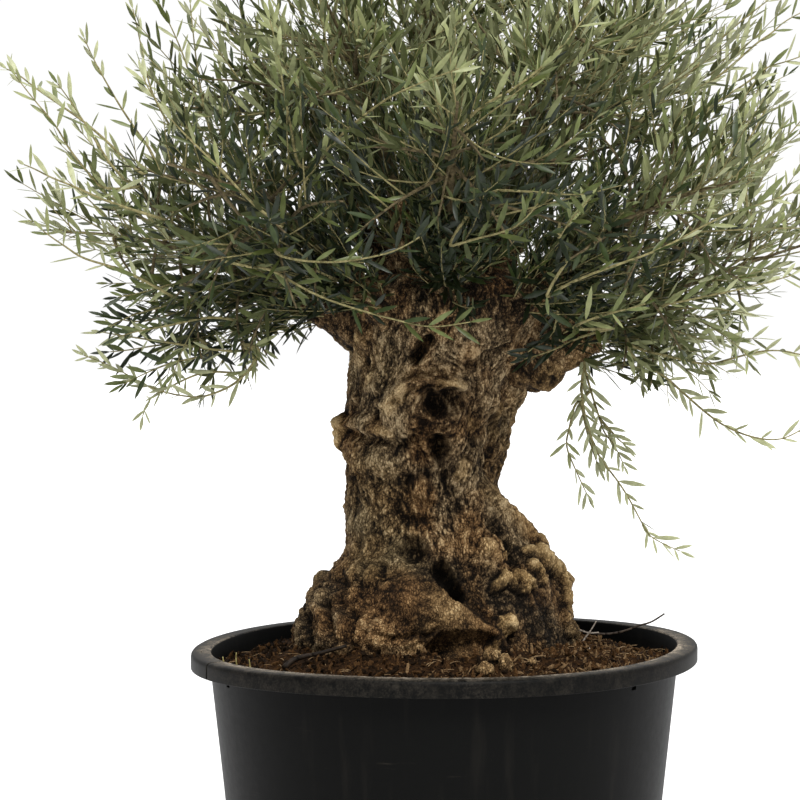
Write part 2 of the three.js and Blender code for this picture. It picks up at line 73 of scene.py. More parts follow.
GROUND = 0.492
SOIL_LEVEL_RADIUS = 0.244
SOIL_EDGE = 0.475
SOIL_EDGE_TILT = 0.018
SOIL_GAP = 0.0004
SOIL_EASE = 0.0012
SOIL_COLUMNS = 360
SOIL_ROWS = 64


def flat_chain(depth, *spots):
    """A chain of points at one depth, from places across and up."""
    return tuple((x, depth, z) for x, z in spots)


# Sticks on the soil: radius at both ends, dark and light colour, and chains of points
STICKS = {
    "log": (0.0042, 0.0022, (0.0040, 0.0026, 0.0016), (0.022, 0.0140, 0.0085), (
        ((-0.208, -0.178, 0.494), (-0.199, -0.170, 0.503), (-0.183, -0.170, 0.508), (-0.161, -0.172, 0.512),
         (-0.128, -0.180, 0.523)),
    )),
    "stick": (0.0016, 0.0012, (0.018, 0.012, 0.0085), (0.080, 0.060, 0.044), (
        flat_chain(0.020, (0.196, 0.514), (0.212, 0.512), (0.228, 0.512), (0.247, 0.516), (0.266, 0.524),
                   (0.280, 0.527), (0.291, 0.533), (0.301, 0.540)),
    )),
    "dry_twigs": (0.0013, 0.0009, (0.150, 0.120, 0.095), (0.330, 0.285, 0.240), (
        flat_chain(0.000, (0.184, 0.520), (0.192, 0.517), (0.200, 0.515), (0.210, 0.517)),
        ((0.183, -0.020, 0.494), (0.186, -0.012, 0.505), (0.195, -0.010, 0.516), (0.202, -0.008, 0.526),
         (0.206, -0.006, 0.533)),
        flat_chain(-0.100, (0.176, 0.502), (0.184, 0.505), (0.191, 0.509)),
    )),
    "sprouts": (0.0013, 0.0006, (0.190, 0.150, 0.050), (0.390, 0.350, 0.150), (
        flat_chain(-0.130, (-0.288, 0.488), (-0.289, 0.496), (-0.290, 0.502)),
        flat_chain(-0.120, (-0.272, 0.488), (-0.274, 0.496), (-0.273, 0.506)),
        flat_chain(-0.160, (-0.252, 0.488), (-0.253, 0.496), (-0.254, 0.503)),
    )),
}
CRUMBS = 6200
CRUMB_RING = (0.165, 0.309)
CRUMB_SEED = 301
RIM_CRUMBS = 46

# Tints of crumbs: name, the brightness each starts at, dark and light colour
CRUMB_TINTS = (
    ("dark", 0.00, (0.0045, 0.0026, 0.0014), (0.018, 0.0100, 0.0046)),
    ("brown", 0.36, (0.025, 0.0120, 0.0045), (0.105, 0.0530, 0.0200)),
    ("pale", 0.85, (0.075, 0.042, 0.018), (0.250, 0.158, 0.078)),
)
STRAWS = 170
STRAW_SEED = 331
STRAW_RING = (0.175, 0.306)
STRAW_LIMIT = 0.309

# Trunk: height above the ground, sideways place of its middle, radius
TRUNK_STATIONS = np.array([
    (0.000, -0.008, 0.190),
    (0.048, -0.012, 0.181),
    (0.098, -0.003, 0.159),
    (0.143, 0.000, 0.129),
    (0.183, -0.016, 0.112),
    (0.223, -0.029, 0.101),
    (0.293, -0.026, 0.106),
    (0.343, -0.017, 0.113),
    (0.393, -0.008, 0.118),
    (0.438, 0.000, 0.132),
    (0.478, 0.002, 0.139),
    (0.506, 0.002, 0.112),
    (0.520, 0.002, 0.052),
])
TRUNK_DEPTH = 0.95
TRUNK_LOBES = ((2, 0.05, 4.0), (3, -0.035, -6.0), (5, 0.03, 3.0))
TRUNK_COLUMNS = 304
TRUNK_ROWS = 322
FRONT_FAVOUR = 0.55
FOOT_BLEND = 0.030
FOOT_DEPTH = 0.010

# Relief of the bark face: path as (degrees from the front, height), half-width, depth or height
EYE = (4, 0.337)
UPPER_KNOTHOLE = ((-11.2, 0.421), (-13.5, 0.406))
DEEP_CREVICE = ((-3, 0.123), (1.5, 0.107), (6.2, 0.091))
BUTTRESS = ((-16, 0.092), (2, 0.066), (18, 0.036))
BUTTRESS_WIDTH = 0.046
ROOT_RIDGE = ((58, 0.215), (70, 0.178), (79, 0.140))
ROOT_RIDGE_WIDTH = 0.025
HOLLOWS = (
    ("main knothole", ((-1, 0.341), (5, 0.334), (14, 0.343)), 0.0165, 0.027),
    ("lower knothole", ((9.5, 0.285), (13.0, 0.270)), 0.012, 0.032),
    ("upper knothole", UPPER_KNOTHOLE, 0.012, 0.026),
    ("left crevice", ((-21, 0.152), (-18, 0.146)), 0.017, 0.022),
    ("deep crevice", DEEP_CREVICE, 0.0155, 0.036),
    ("burl crevice", ((41, 0.178), (42.5, 0.164), (45, 0.153), (43.5, 0.136)), 0.013, 0.020),
    ("root cave", ((-1, 0.024), (4, 0.030), (14, 0.030), (20, 0.026)), 0.016, 0.024),
)
LIPPED_HOLLOWS = 5
CREASES = (
    (((-80, 0.297), (-50.8, 0.296), (-36, 0.290), (-18.5, 0.288), (-6.2, 0.286)), 0.010, 0.010),
    (((-35.2, 0.348), (-37.8, 0.330), (-39.2, 0.317)), 0.009, 0.005),
    (((17, 0.256), (23.5, 0.222), (20.8, 0.196)), 0.007, 0.007),
    (((-22.2, 0.202), (-18.8, 0.188), (-9.2, 0.181), (3, 0.186)), 0.008, 0.008),
    (((-24, 0.043), (-15.8, 0.044), (-6, 0.044), (1.8, 0.048)), 0.005, 0.005),
    (((-88, 0.262), (-58, 0.251), (-42.5, 0.239), (-28.8, 0.233)), 0.009, 0.007),
    (((-7.8, 0.238), (-11.2, 0.223), (-6.8, 0.209), (5, 0.206)), 0.007, 0.007),
    (((-6, 0.238), (2, 0.243), (10, 0.238), (13, 0.222)), 0.006, 0.005),
    (((30, 0.360), (34, 0.330), (36, 0.290), (34, 0.245)), 0.008, 0.006),
    (((58, 0.350), (61, 0.300), (62, 0.250)), 0.008, 0.006),
    (((-58, 0.400), (-60, 0.365), (-66, 0.335)), 0.008, 0.006),
    (((20, 0.394), (24.5, 0.398), (40.5, 0.412)), 0.010, 0.008),
    (((-24, 0.345), (-17, 0.352), (-8, 0.363), (5, 0.361)), 0.006, 0.005),
    (((3.5, 0.096), (10, 0.082), (16.5, 0.071), (22.5, 0.058), (27.8, 0.048), (33.2, 0.033)), 0.009, 0.010),
    (((-65.5, 0.107), (-54.2, 0.104), (-46.2, 0.099)), 0.009, 0.008),
    (((-53.2, 0.073), (-46, 0.055), (-41.5, 0.034)), 0.008, 0.008),
    (((-36.8, 0.070), (-34, 0.058), (-34, 0.035)), 0.009, 0.009),
    (((-71.8, 0.058), (-60.8, 0.045), (-57.2, 0.025)), 0.010, 0.009),
    (((-50, 0.131), (-41.8, 0.138), (-33, 0.129), (-29, 0.114)), 0.007, 0.006),
)
RIDGES = (
    ("brow", ((-30.2, 0.338), (-25.2, 0.356), (-16.5, 0.365), (-5.8, 0.372), (5, 0.367), (18, 0.362)),
     0.013, 0.015),
    ("inner brow", ((-16.5, 0.343), (-11, 0.355), (-4, 0.362), (5.8, 0.359), (18, 0.357)), 0.008, 0.006),
    ("cheek", ((-27.5, 0.341), (-22, 0.322), (-18, 0.311)), 0.026, 0.012),
    ("band", ((-80, 0.304), (-55, 0.313), (-37.8, 0.306), (-24, 0.299), (-12.8, 0.302)), 0.015, 0.011),
    ("lower left mass", ((-80, 0.279), (-58.5, 0.267), (-42.5, 0.253)), 0.026, 0.009),
    ("middle lump", ((-24, 0.268), (-14, 0.262)), 0.028, 0.008),
    ("cord by the knothole", ((2.2, 0.291), (5.5, 0.271), (9.5, 0.248), (10, 0.230)), 0.009, 0.007),
    ("lip by the knothole", ((31.2, 0.263), (36, 0.243)), 0.013, 0.010),
    ("right lip", ((20, 0.325), (24, 0.300), (22, 0.270)), 0.016, 0.007),
    ("rust lump", ((0.2, 0.228), (6.2, 0.220)), 0.017, 0.006),
    ("small lump", ((-14, 0.199), (-9, 0.197)), 0.015, 0.008),
    ("oval knot", ((-49.5, 0.373), (-45.8, 0.358)), 0.015, 0.008),
    ("right rib", ((38, 0.343), (44, 0.280), (43, 0.211)), 0.020, 0.008),
    ("outer rib", ((52, 0.345), (68, 0.307), (69, 0.265)), 0.016, 0.008),
    ("right edge", ((84, 0.372), (90, 0.330), (90, 0.295), (86, 0.255)), 0.034, 0.012),
    ("root ridge", ROOT_RIDGE, ROOT_RIDGE_WIDTH, 0.016),
    ("buttress", BUTTRESS, BUTTRESS_WIDTH, 0.022),
    ("buttress edge", ((-3.2, 0.095), (4.5, 0.081), (12.8, 0.064), (20.8, 0.050)), 0.010, 0.006),
    ("buttress lip", ((-26, 0.052), (-14, 0.050)), 0.012, 0.008),
    ("cave lip", ((-12, 0.034), (-3, 0.052), (9, 0.057), (22, 0.040)), 0.009, 0.008),
    ("first fold", ((-61.2, 0.067), (-52.2, 0.059), (-46.5, 0.045), (-47.2, 0.029)), 0.011, 0.012),
    ("second fold", ((-45, 0.075), (-44, 0.067), (-39, 0.064), (-37.2, 0.041)), 0.011, 0.012),
    ("third fold", ((-30.2, 0.058), (-31.2, 0.047), (-31.2, 0.037)), 0.010, 0.010),
    ("outer fold", ((-76, 0.090), (-79, 0.055), (-84, 0.024)), 0.018, 0.006),
)
KNOBS = np.array([
    (-61, 0.429, 0.019, 0.009), (-46, 0.363, 0.021, 0.006), (34, 0.255, 0.015, 0.007),
    (58, 0.402, 0.015, 0.009), (24.8, 0.124, 0.013, 0.009), (33, 0.069, 0.014, 0.009),
    (29, 0.037, 0.012, 0.008), (82, 0.050, 0.016, 0.009), (84, 0.030, 0.015, 0.010),
    (13, 0.119, 0.012, 0.008), (19, 0.133, 0.011, 0.007), (26, 0.146, 0.016, 0.013),
    (31, 0.136, 0.012, 0.010), (-89, 0.094, 0.021, 0.013), (-73, 0.082, 0.020, 0.009),
    (-35.5, 0.117, 0.019, 0.012), (-48, 0.117, 0.015, 0.009), (-60, 0.083, 0.017, 0.010),
    (-50, 0.084, 0.015, 0.009), (-72, 0.040, 0.019, 0.008), (-24, 0.036, 0.014, 0.006),
    (-62, 0.028, 0.012, 0.007), (-66, 0.064, 0.012, 0.008), (-28, 0.104, 0.013, 0.007),
    (-40, 0.090, 0.013, 0.008), (-68, 0.018, 0.014, 0.007), (-38, 0.022, 0.012, 0.007),
])
NODULES = (
    (((-82, 0.301),), 0.024, 0.019), (((-84, 0.287),), 0.018, 0.014),
    (((69.2, 0.132), (81.8, 0.116)), 0.0170, 0.0175), (((57.8, 0.141),), 0.0115, 0.0150),
    (((92, 0.116), (92, 0.099)), 0.0125, 0.0150), (((41, 0.117), (47.5, 0.103)), 0.0105, 0.0160),
    (((54.5, 0.122), (61.2, 0.113), (60.8, 0.102)), 0.0078, 0.0120),
    (((26.8, 0.103), (33.5, 0.114)), 0.0100, 0.0140), (((36.2, 0.111), (37.2, 0.100)), 0.0080, 0.0115),
    (((41.2, 0.096),), 0.0105, 0.0110), (((37, 0.138),), 0.0075, 0.0080),
    (((86.8, 0.076), (84, 0.064)), 0.0095, 0.0110), (((92, 0.084),), 0.0120, 0.0120),
    (((31.0, 0.054),), 0.0175, 0.0190), (((92, 0.142),), 0.0130, 0.0130),
    (((24, 0.022),), 0.0140, 0.0150), (((19.5, 0.003),), 0.0140, 0.0200),
)

# Places on the bark that differ in colour, some of them by painted light and shade: path, half-width and, for
# some, how much lighter they are
DARK_PATCH = (((47, 0.075), (56, 0.028)), 0.046)
# The right flank is painted lighter, as light falling on that side, and less warm
LIT_FLANK_PATCH = (((33.8, 0.343), (58.5, 0.288), (51, 0.235)), 0.050)
RUST_PATCH = (((2, 0.226), (6, 0.219)), 0.018)
OLIVE_PATCH = (((-40, 0.215), (-40, 0.150)), 0.075)
# Painted shade in the shaded folds, round the main knothole, in the upper knothole, the deep crevice and the
# valley; a painted shadow of the crown on the head; painted light on the flank
TONE_AND_SHADE_PATCHES = (
    ("shaded folds", ((-70, 0.070), (-40, 0.060)), 0.090, -0.08),
    ("round the main knothole", ((-8, 0.338), (16, 0.334)), 0.036, -0.06),
    ("upper knothole", UPPER_KNOTHOLE, 0.014, -0.30),
    ("deep crevice", DEEP_CREVICE, 0.015, -0.22),
    ("buttress tip", ((7, 0.062), (19, 0.044)), 0.024, 0.18),
    ("buttress lip", ((-20.8, 0.037), (-7, 0.030)), 0.022, 0.12),
    ("olive bark", OLIVE_PATCH[0], 0.060, 0.08),
    ("low nodule", ((31.0, 0.056), (31.5, 0.051)), 0.020, 0.34),
    ("rust lump", *RUST_PATCH, -0.10),
    ("valley", ((9.2, 0.108), (18.2, 0.092), (26.5, 0.079)), 0.022, -0.15),
    ("head", ((6.8, 0.474), (17.5, 0.464), (31, 0.449)), 0.050, -0.14),
    ("lit_flank", *LIT_FLANK_PATCH, 0.05),
)
# Changes of tone with height: from, to, how much lighter. The fourth step is painted light on the upper trunk
# and the last a painted shadow of the crown on the trunk's head; the first three darken the trunk above its
# foot and a band lower down
TONE_AND_LIGHT_STEPS = (
    (0.06, 0.20, -0.03), (0.14, 0.19, -0.06), (0.25, 0.30, 0.06), (0.28, 0.40, 0.15), (0.425, 0.490, -0.34),
)
WARM_PATCHES = (
    (((-18, 0.090), (12, 0.060)), 0.046),
    RUST_PATCH,
    (((-4, 0.030), (17, 0.029)), 0.034),
    (((-32, 0.054), (-20, 0.037), (-7, 0.030)), 0.030),
)
# Worn places, smoother and tan, which are also painted lighter as a highlight on raised forms
WORN_AND_HIGHLIT_PATCHES = (
    (((-25.8, 0.335), (-23.2, 0.347), (-20.5, 0.357)), 0.012),
    (((-47.8, 0.377), (-49.8, 0.358)), 0.009),
    (((-66, 0.430), (-62.2, 0.424)), 0.007),
    (((60, 0.327), (62.5, 0.309), (63, 0.292)), 0.011),
    (((33.8, 0.263), (31.5, 0.245)), 0.012),
    (((-32.5, 0.303), (-24.5, 0.300)), 0.011),
    (((-84, 0.285), (-80, 0.269), (-72, 0.259)), 0.014),
    (((30.5, 0.316), (34.8, 0.311)), 0.010),
    (((3.5, 0.363), (16.5, 0.364)), 0.008),
)
NUBS = (
    ((0.047, -0.262, 0.503), (0.0120, 0.0110, 0.0115)),
    ((0.074, -0.246, 0.506), (0.0095, 0.0085, 0.0150)),
    ((0.057, -0.232, 0.516), (0.0115, 0.0100, 0.0110)),
    ((0.108, -0.225, 0.508), (0.0060, 0.0060, 0.0060)),
)
NUB_COLUMNS = 36
NUB_ROWS = 22
BACK_KNOBS = {"count": 26, "angles": (96, 264), "heights": (0.008, 0.132), "width": 0.018, "size": 0.013}

# Tones of bark from its creases to its ridges, one for plain bark and one for each layer over it. The dark
# end is painted shade in creases and hollows, the light end partly painted light on raised places
BARK_STEPS = (0.05, 0.28, 0.50, 0.74, 0.98)
BARK_TONES = {
    "plain": ((0.0072, 0.0050, 0.0029), (0.034, 0.0226, 0.0122), (0.105, 0.070, 0.0360),
              (0.245, 0.171, 0.0905), (0.460, 0.346, 0.200)),
    "warmth": ((0.0085, 0.0050, 0.0026), (0.045, 0.0235, 0.0097), (0.135, 0.072, 0.0287),
               (0.280, 0.165, 0.0713), (0.500, 0.336, 0.165)),
    "olive": ((0.0078, 0.0060, 0.0033), (0.037, 0.0274, 0.0126), (0.112, 0.0816, 0.0365),
              (0.235, 0.178, 0.0853), (0.430, 0.336, 0.183)),
    "burl": ((0.0110, 0.0066, 0.0030), (0.060, 0.0365, 0.0150), (0.172, 0.108, 0.0430),
             (0.360, 0.238, 0.100), (0.590, 0.425, 0.215)),
}

# Crown: an ellipsoid outline, with every limb growing from the heart in the trunk's head
HEART = np.array([0.0, 0.0, GROUND + 0.438])
CROWN = np.array([-0.005, 0.0, 1.115])
CROWN_REACH = np.array([0.590, 0.570, 0.385])
CROWN_SLACK = 1.05
LOWEST_SIDE = -17
LOWEST_FRONT = 12
LOWEST_EASE = 3
FULL_CORNER = (0.78, 0.00, 0.62)
THIN_CORNER = (-0.76, -0.10, 0.60)
GAP_SIDES = (-0.26, -0.04)
GAP_TOPS = (0.872, 0.946)

# Boughs: azimuth from +X, elevation, length from the heart, radius at the heart and at the tip, and how far
# the root drops and the tip sags
BOUGHS = {
    "right": (0, 13, 0.208, 0.050, 0.026, 0.074, 0.050),
    "back_right": (47, 13, 0.230, 0.036, 0.016, 0.022, 0),
    "back": (94, 14, 0.225, 0.038, 0.016, 0.022, 0),
    "back_left": (139, 13, 0.230, 0.036, 0.016, 0.022, 0),
    "left": (183, 14, 0.235, 0.042, 0.017, 0.022, 0),
    "front_left": (227, 22, 0.225, 0.034, 0.014, 0.022, 0),
    "front": (271, 30, 0.215, 0.030, 0.013, 0.022, 0),
    "front_right": (315, 20, 0.225, 0.034, 0.014, 0.022, 0),
    "upper_right": (22, 53, 0.220, 0.028, 0.013, 0.022, 0),
    "upper_back": (94, 53, 0.215, 0.028, 0.013, 0.022, 0),
    "upper_left": (166, 53, 0.220, 0.028, 0.013, 0.022, 0),
    "upper_front_left": (236, 56, 0.210, 0.026, 0.012, 0.022, 0),
    "upper_front_right": (308, 55, 0.210, 0.026, 0.012, 0.022, 0),
    "top": (150, 87, 0.230, 0.028, 0.013, 0.022, 0),
}
BOUGH_KNOBS = (
    ((0.142, -0.034, 0.862), 0.032, 0.011),
    ((0.108, -0.050, 0.852), 0.024, 0.008),
    ((0.176, -0.020, 0.884), 0.020, 0.007),
)
BOUGH_COLUMNS = 44
BOUGH_ROWS = 56

# Foliage: stem, twigs by an even spiral, shoots along the twigs, pairs of leaves along the shoots
GOLDEN_ANGLE = math.pi * (3 - math.sqrt(5))
STEM_SHARE = 0.86
STEM_TIP_RADIUS = 0.0018
SHARED_STEM = {"radius": 0.010, "rise": 0.009}
TWIG_TRIES = 24
TWIG_CONE = math.radians(36)
TWIG_RADIUS = 0.0027
TWIG_TIP_RADIUS = 0.0011
TWIG_LOW = 0.06
TWIG_HIGH = 0.90
TWIG_BULGE = 0.16
REACH_LEAST = 0.56
REACH_SPREAD = 0.24
CELL_EASE = 0.030
SHOOTS_PER_TWIG = 6
SHOOT_LENGTHS = (0.100, 0.230)
SHOOT_SPREADS = np.radians((50, 20))
SHOOT_RADIUS = 0.0013
SHOOT_TIP_RADIUS = 0.0005
LIMB_SHOOTS = 26
COLLAR_SHOOTS = 26
COLLAR_BOUGHS = ("left", "front_left", "front", "front_right", "right")
COLLAR_CLEARANCE = 0.155
COLLAR_LOWEST = 0.900
COLLAR_BACK = 0.05
TIP_LEAF = 99
LEAF_LENGTH = 0.040
LEAF_WIDTH = 0.0070
LEAF_RIDGE = 0.0007
LEAF_SPACING = 0.0205

# Leaves of each kind of shoot: share of the shoot left bare, spacing of the pairs, length, seed, how much
# lighter they are than the crown round them, and how far they turn to the front
LEAF_ROWS = {
    "shoots": (0.10, LEAF_SPACING, LEAF_LENGTH, 20, 0.0, 0.0),
    "twigs": (0.40, LEAF_SPACING, LEAF_LENGTH, 40, 0.0, 0.0),
    "collar": (0.10, LEAF_SPACING, LEAF_LENGTH, 50, 0.0, 0.0),
    "hanging": (0.0, 0.0145, 0.033, 60, 1.20, 1.1),
    "low": (0.0, 0.018, 0.034, 70, 0.72, 1.1),
    "face": (0.0, 0.023, LEAF_LENGTH, 80, 0.26, 1.1),
    "edge": (0.0, 0.020, 0.036, 90, 0.15, 1.1),
    "fringe": (0.0, 0.013, 0.037, 100, -0.42, 1.1),
}

# Leaf tints: name, the tone each starts at, which underside it has, and its colour. The tone carries painted
# light and shade, so lit leaves take the lighter tints and shaded ones the darker
LEAF_TINTS = (
    ("deep", 0.00, 0, (0.0068, 0.0128, 0.0026)),
    ("grey", 0.34, 0, (0.0225, 0.0355, 0.0078)),
    ("olive", 0.54, 0, (0.0560, 0.0700, 0.0148)),
    ("soft", 0.74, 1, (0.1080, 0.1280, 0.0420)),
    ("young", 0.94, 1, (0.1990, 0.2150, 0.0920)),
    ("pale", 1.14, 2, (0.2890, 0.3010, 0.1660)),
)
UNDER_TINTS = ((0.052, 0.060, 0.020), (0.174, 0.187, 0.090), (0.282, 0.290, 0.178))
LEAF_VARIATION = 0.60
FACE_HALF = 0.27
FACE_TONE = 1.0
PIECE_LEAVES = 10500

# Long shoots of five kinds: radius at both ends, and chains of points. The first kind hangs from the right
# bough's tip. The rest stand out low at the crown's sides, over its face, at its edges and in its fringe
LONG_SHOOTS = {
    "hanging": (0.0021, 0.0007, (
        ((0.190, -0.004, 0.902), (0.186, -0.010, 0.884), (0.197, -0.020, 0.844), (0.209, -0.020, 0.806),
         (0.215, -0.020, 0.787), (0.229, -0.040, 0.772), (0.239, -0.050, 0.746)),
        ((0.192, -0.004, 0.902), (0.186, -0.020, 0.877), (0.182, -0.040, 0.833), (0.196, -0.040, 0.782),
         (0.206, -0.040, 0.757), (0.239, -0.050, 0.716), (0.266, -0.060, 0.663), (0.277, -0.060, 0.648),
         (0.312, -0.070, 0.634)),
        ((0.197, -0.020, 0.846), (0.188, -0.030, 0.836), (0.173, -0.040, 0.828), (0.168, -0.040, 0.800),
         (0.161, -0.040, 0.773), (0.173, -0.040, 0.745), (0.184, -0.040, 0.721), (0.192, -0.040, 0.704)),
        ((0.182, -0.040, 0.832), (0.189, -0.030, 0.798), (0.198, -0.030, 0.766), (0.206, -0.030, 0.745)),
        ((0.208, -0.020, 0.808), (0.224, -0.030, 0.790), (0.235, -0.030, 0.778), (0.243, -0.030, 0.772)),
    )),
    "low": (0.0022, 0.0008, (
        ((0.244, -0.030, 0.904), (0.296, -0.060, 0.892), (0.348, -0.060, 0.879), (0.378, -0.100, 0.891),
         (0.422, -0.120, 0.903), (0.458, -0.140, 0.897), (0.493, -0.150, 0.887)),
        ((0.244, -0.030, 0.892), (0.290, -0.050, 0.868), (0.314, -0.050, 0.846), (0.348, -0.050, 0.816),
         (0.373, -0.050, 0.798), (0.405, -0.080, 0.785), (0.438, -0.100, 0.782), (0.465, -0.100, 0.795),
         (0.489, -0.100, 0.809)),
        ((-0.238, -0.127, 0.908), (-0.248, -0.109, 0.886), (-0.273, -0.086, 0.857), (-0.308, -0.064, 0.841),
         (-0.333, -0.050, 0.836), (-0.389, -0.033, 0.846), (-0.444, -0.026, 0.879),
         (-0.484, -0.007, 0.892)),
        ((-0.240, -0.099, 0.885), (-0.263, -0.081, 0.869), (-0.312, -0.066, 0.873), (-0.339, -0.050, 0.864),
         (-0.369, -0.032, 0.849), (-0.398, -0.012, 0.835), (-0.406, 0.000, 0.810)),
        ((-0.238, -0.126, 0.904), (-0.281, -0.101, 0.898), (-0.350, -0.076, 0.908), (-0.400, -0.054, 0.915),
         (-0.443, -0.035, 0.921), (-0.460, -0.023, 0.924)),
    )),
    "face": (0.0021, 0.0008, (
        ((-0.216, -0.285, 1.032), (-0.209, -0.306, 1.021), (-0.176, -0.332, 1.014), (-0.135, -0.361, 1.012),
         (-0.098, -0.390, 1.017), (-0.059, -0.419, 1.026), (-0.036, -0.447, 1.041)),
        ((-0.251, -0.271, 1.008), (-0.220, -0.283, 1.006), (-0.194, -0.288, 0.990), (-0.159, -0.292, 0.971),
         (-0.112, -0.297, 0.955), (-0.059, -0.300, 0.941), (-0.028, -0.303, 0.934), (-0.006, -0.307, 0.934),
         (0.027, -0.314, 0.940)),
        ((-0.187, -0.298, 1.097), (-0.149, -0.335, 1.149), (-0.117, -0.368, 1.177), (-0.079, -0.399, 1.204),
         (-0.059, -0.430, 1.212), (-0.023, -0.460, 1.225), (0.009, -0.488, 1.234)),
        ((-0.185, -0.326, 1.128), (-0.190, -0.364, 1.175), (-0.198, -0.395, 1.218), (-0.203, -0.416, 1.261),
         (-0.212, -0.429, 1.296)),
        ((-0.196, -0.319, 1.056), (-0.223, -0.340, 1.071), (-0.246, -0.361, 1.092), (-0.272, -0.377, 1.122),
         (-0.299, -0.388, 1.148), (-0.326, -0.393, 1.175), (-0.358, -0.382, 1.213),
         (-0.366, -0.386, 1.234)),
        ((-0.378, -0.225, 1.117), (-0.419, -0.201, 1.157), (-0.458, -0.168, 1.191), (-0.502, -0.118, 1.221),
         (-0.539, -0.069, 1.245), (-0.570, -0.020, 1.269), (-0.585, -0.010, 1.275)),
        ((-0.396, -0.254, 1.080), (-0.433, -0.235, 1.093), (-0.475, -0.207, 1.112), (-0.503, -0.183, 1.122),
         (-0.530, -0.155, 1.136), (-0.544, -0.137, 1.141)),
        ((-0.398, -0.195, 1.000), (-0.429, -0.182, 1.010), (-0.467, -0.163, 1.020), (-0.489, -0.152, 1.035),
         (-0.510, -0.139, 1.048), (-0.521, -0.131, 1.056)),
        ((0.112, -0.280, 0.961), (0.141, -0.302, 0.984), (0.178, -0.317, 1.000), (0.212, -0.330, 1.012),
         (0.241, -0.341, 1.022), (0.274, -0.350, 1.037), (0.304, -0.358, 1.055), (0.342, -0.358, 1.073),
         (0.379, -0.351, 1.083), (0.428, -0.329, 1.101)),
        ((0.025, -0.341, 1.101), (0.063, -0.389, 1.098), (0.106, -0.433, 1.094), (0.136, -0.476, 1.089),
         (0.151, -0.521, 1.088)),
        ((-0.009, -0.305, 1.028), (0.021, -0.356, 1.038), (0.062, -0.404, 1.047), (0.084, -0.452, 1.056),
         (0.100, -0.502, 1.078)),
        ((0.029, -0.390, 1.191), (0.047, -0.408, 1.202), (0.077, -0.422, 1.217), (0.103, -0.433, 1.236),
         (0.126, -0.438, 1.259), (0.151, -0.432, 1.290), (0.176, -0.417, 1.321)),
        ((0.128, -0.379, 1.033), (0.138, -0.443, 1.059), (0.159, -0.502, 1.083)),
        ((0.146, -0.238, 0.927), (0.175, -0.280, 0.943), (0.209, -0.316, 0.953), (0.238, -0.351, 0.962)),
    )),
    "edge": (0.0021, 0.0008, (
        ((0.271, -0.090, 1.217), (0.308, -0.080, 1.251), (0.338, -0.070, 1.281), (0.364, -0.060, 1.311),
         (0.392, -0.060, 1.335), (0.418, -0.050, 1.355), (0.436, -0.050, 1.369)),
        ((0.298, -0.140, 1.180), (0.334, -0.130, 1.210), (0.367, -0.120, 1.233), (0.393, -0.120, 1.249),
         (0.416, -0.110, 1.269), (0.444, -0.110, 1.276), (0.467, -0.100, 1.285)),
        flat_chain(0.020, (0.346, 1.249), (0.389, 1.282), (0.422, 1.313), (0.443, 1.326), (0.460, 1.343),
                   (0.483, 1.354)),
        ((0.354, -0.180, 1.114), (0.376, -0.170, 1.155), (0.398, -0.160, 1.188), (0.415, -0.150, 1.220),
         (0.424, -0.140, 1.237)),
        ((0.395, -0.030, 1.120), (0.431, -0.020, 1.156), (0.452, -0.020, 1.176), (0.480, -0.010, 1.209)),
        ((0.271, -0.220, 0.960), (0.298, -0.210, 0.965), (0.362, -0.200, 0.978), (0.407, -0.190, 0.988),
         (0.440, -0.180, 0.998)),
        flat_chain(0.060, (0.241, 1.280), (0.275, 1.320), (0.306, 1.350), (0.336, 1.380), (0.361, 1.402)),
        flat_chain(-0.060, (-0.385, 1.160), (-0.405, 1.187), (-0.428, 1.221), (-0.448, 1.256),
                   (-0.464, 1.285), (-0.475, 1.311)),
        flat_chain(-0.020, (-0.358, 1.186), (-0.375, 1.213), (-0.391, 1.244), (-0.400, 1.281),
                   (-0.406, 1.315), (-0.415, 1.354)),
        flat_chain(0.000, (-0.325, 1.202), (-0.335, 1.248), (-0.346, 1.285), (-0.362, 1.325),
                   (-0.381, 1.363)),
        flat_chain(-0.160, (-0.439, 1.104), (-0.458, 1.129), (-0.483, 1.159), (-0.500, 1.191),
                   (-0.529, 1.224), (-0.551, 1.253)),
        flat_chain(-0.100, (-0.299, 1.159), (-0.312, 1.204), (-0.321, 1.253), (-0.327, 1.298),
                   (-0.332, 1.351)),
        flat_chain(-0.200, (-0.401, 1.111), (-0.424, 1.136), (-0.444, 1.167), (-0.459, 1.192),
                   (-0.477, 1.220), (-0.492, 1.240)),
    )),
    "fringe": (0.0021, 0.0008, (
        flat_chain(-0.060, (-0.317, 0.966), (-0.357, 0.962), (-0.390, 0.953), (-0.419, 0.945),
                   (-0.443, 0.931)),
        flat_chain(-0.100, (-0.301, 0.946), (-0.340, 0.938), (-0.376, 0.930), (-0.404, 0.926),
                   (-0.431, 0.917)),
        flat_chain(-0.020, (-0.313, 0.915), (-0.354, 0.909), (-0.391, 0.905), (-0.421, 0.899),
                   (-0.447, 0.897)),
        flat_chain(-0.080, (-0.322, 0.987), (-0.364, 0.985), (-0.398, 0.976), (-0.430, 0.970)),
        flat_chain(-0.050, (-0.295, 0.897), (-0.335, 0.889), (-0.370, 0.881), (-0.402, 0.867),
                   (-0.426, 0.855)),
        flat_chain(0.030, (-0.344, 0.953), (-0.385, 0.942), (-0.412, 0.936), (-0.437, 0.939),
                   (-0.458, 0.945)),
        flat_chain(-0.130, (0.181, 0.922), (0.151, 0.907), (0.128, 0.897), (0.102, 0.890)),
        flat_chain(-0.130, (0.148, 0.928), (0.123, 0.912), (0.107, 0.899)),
    )),
}

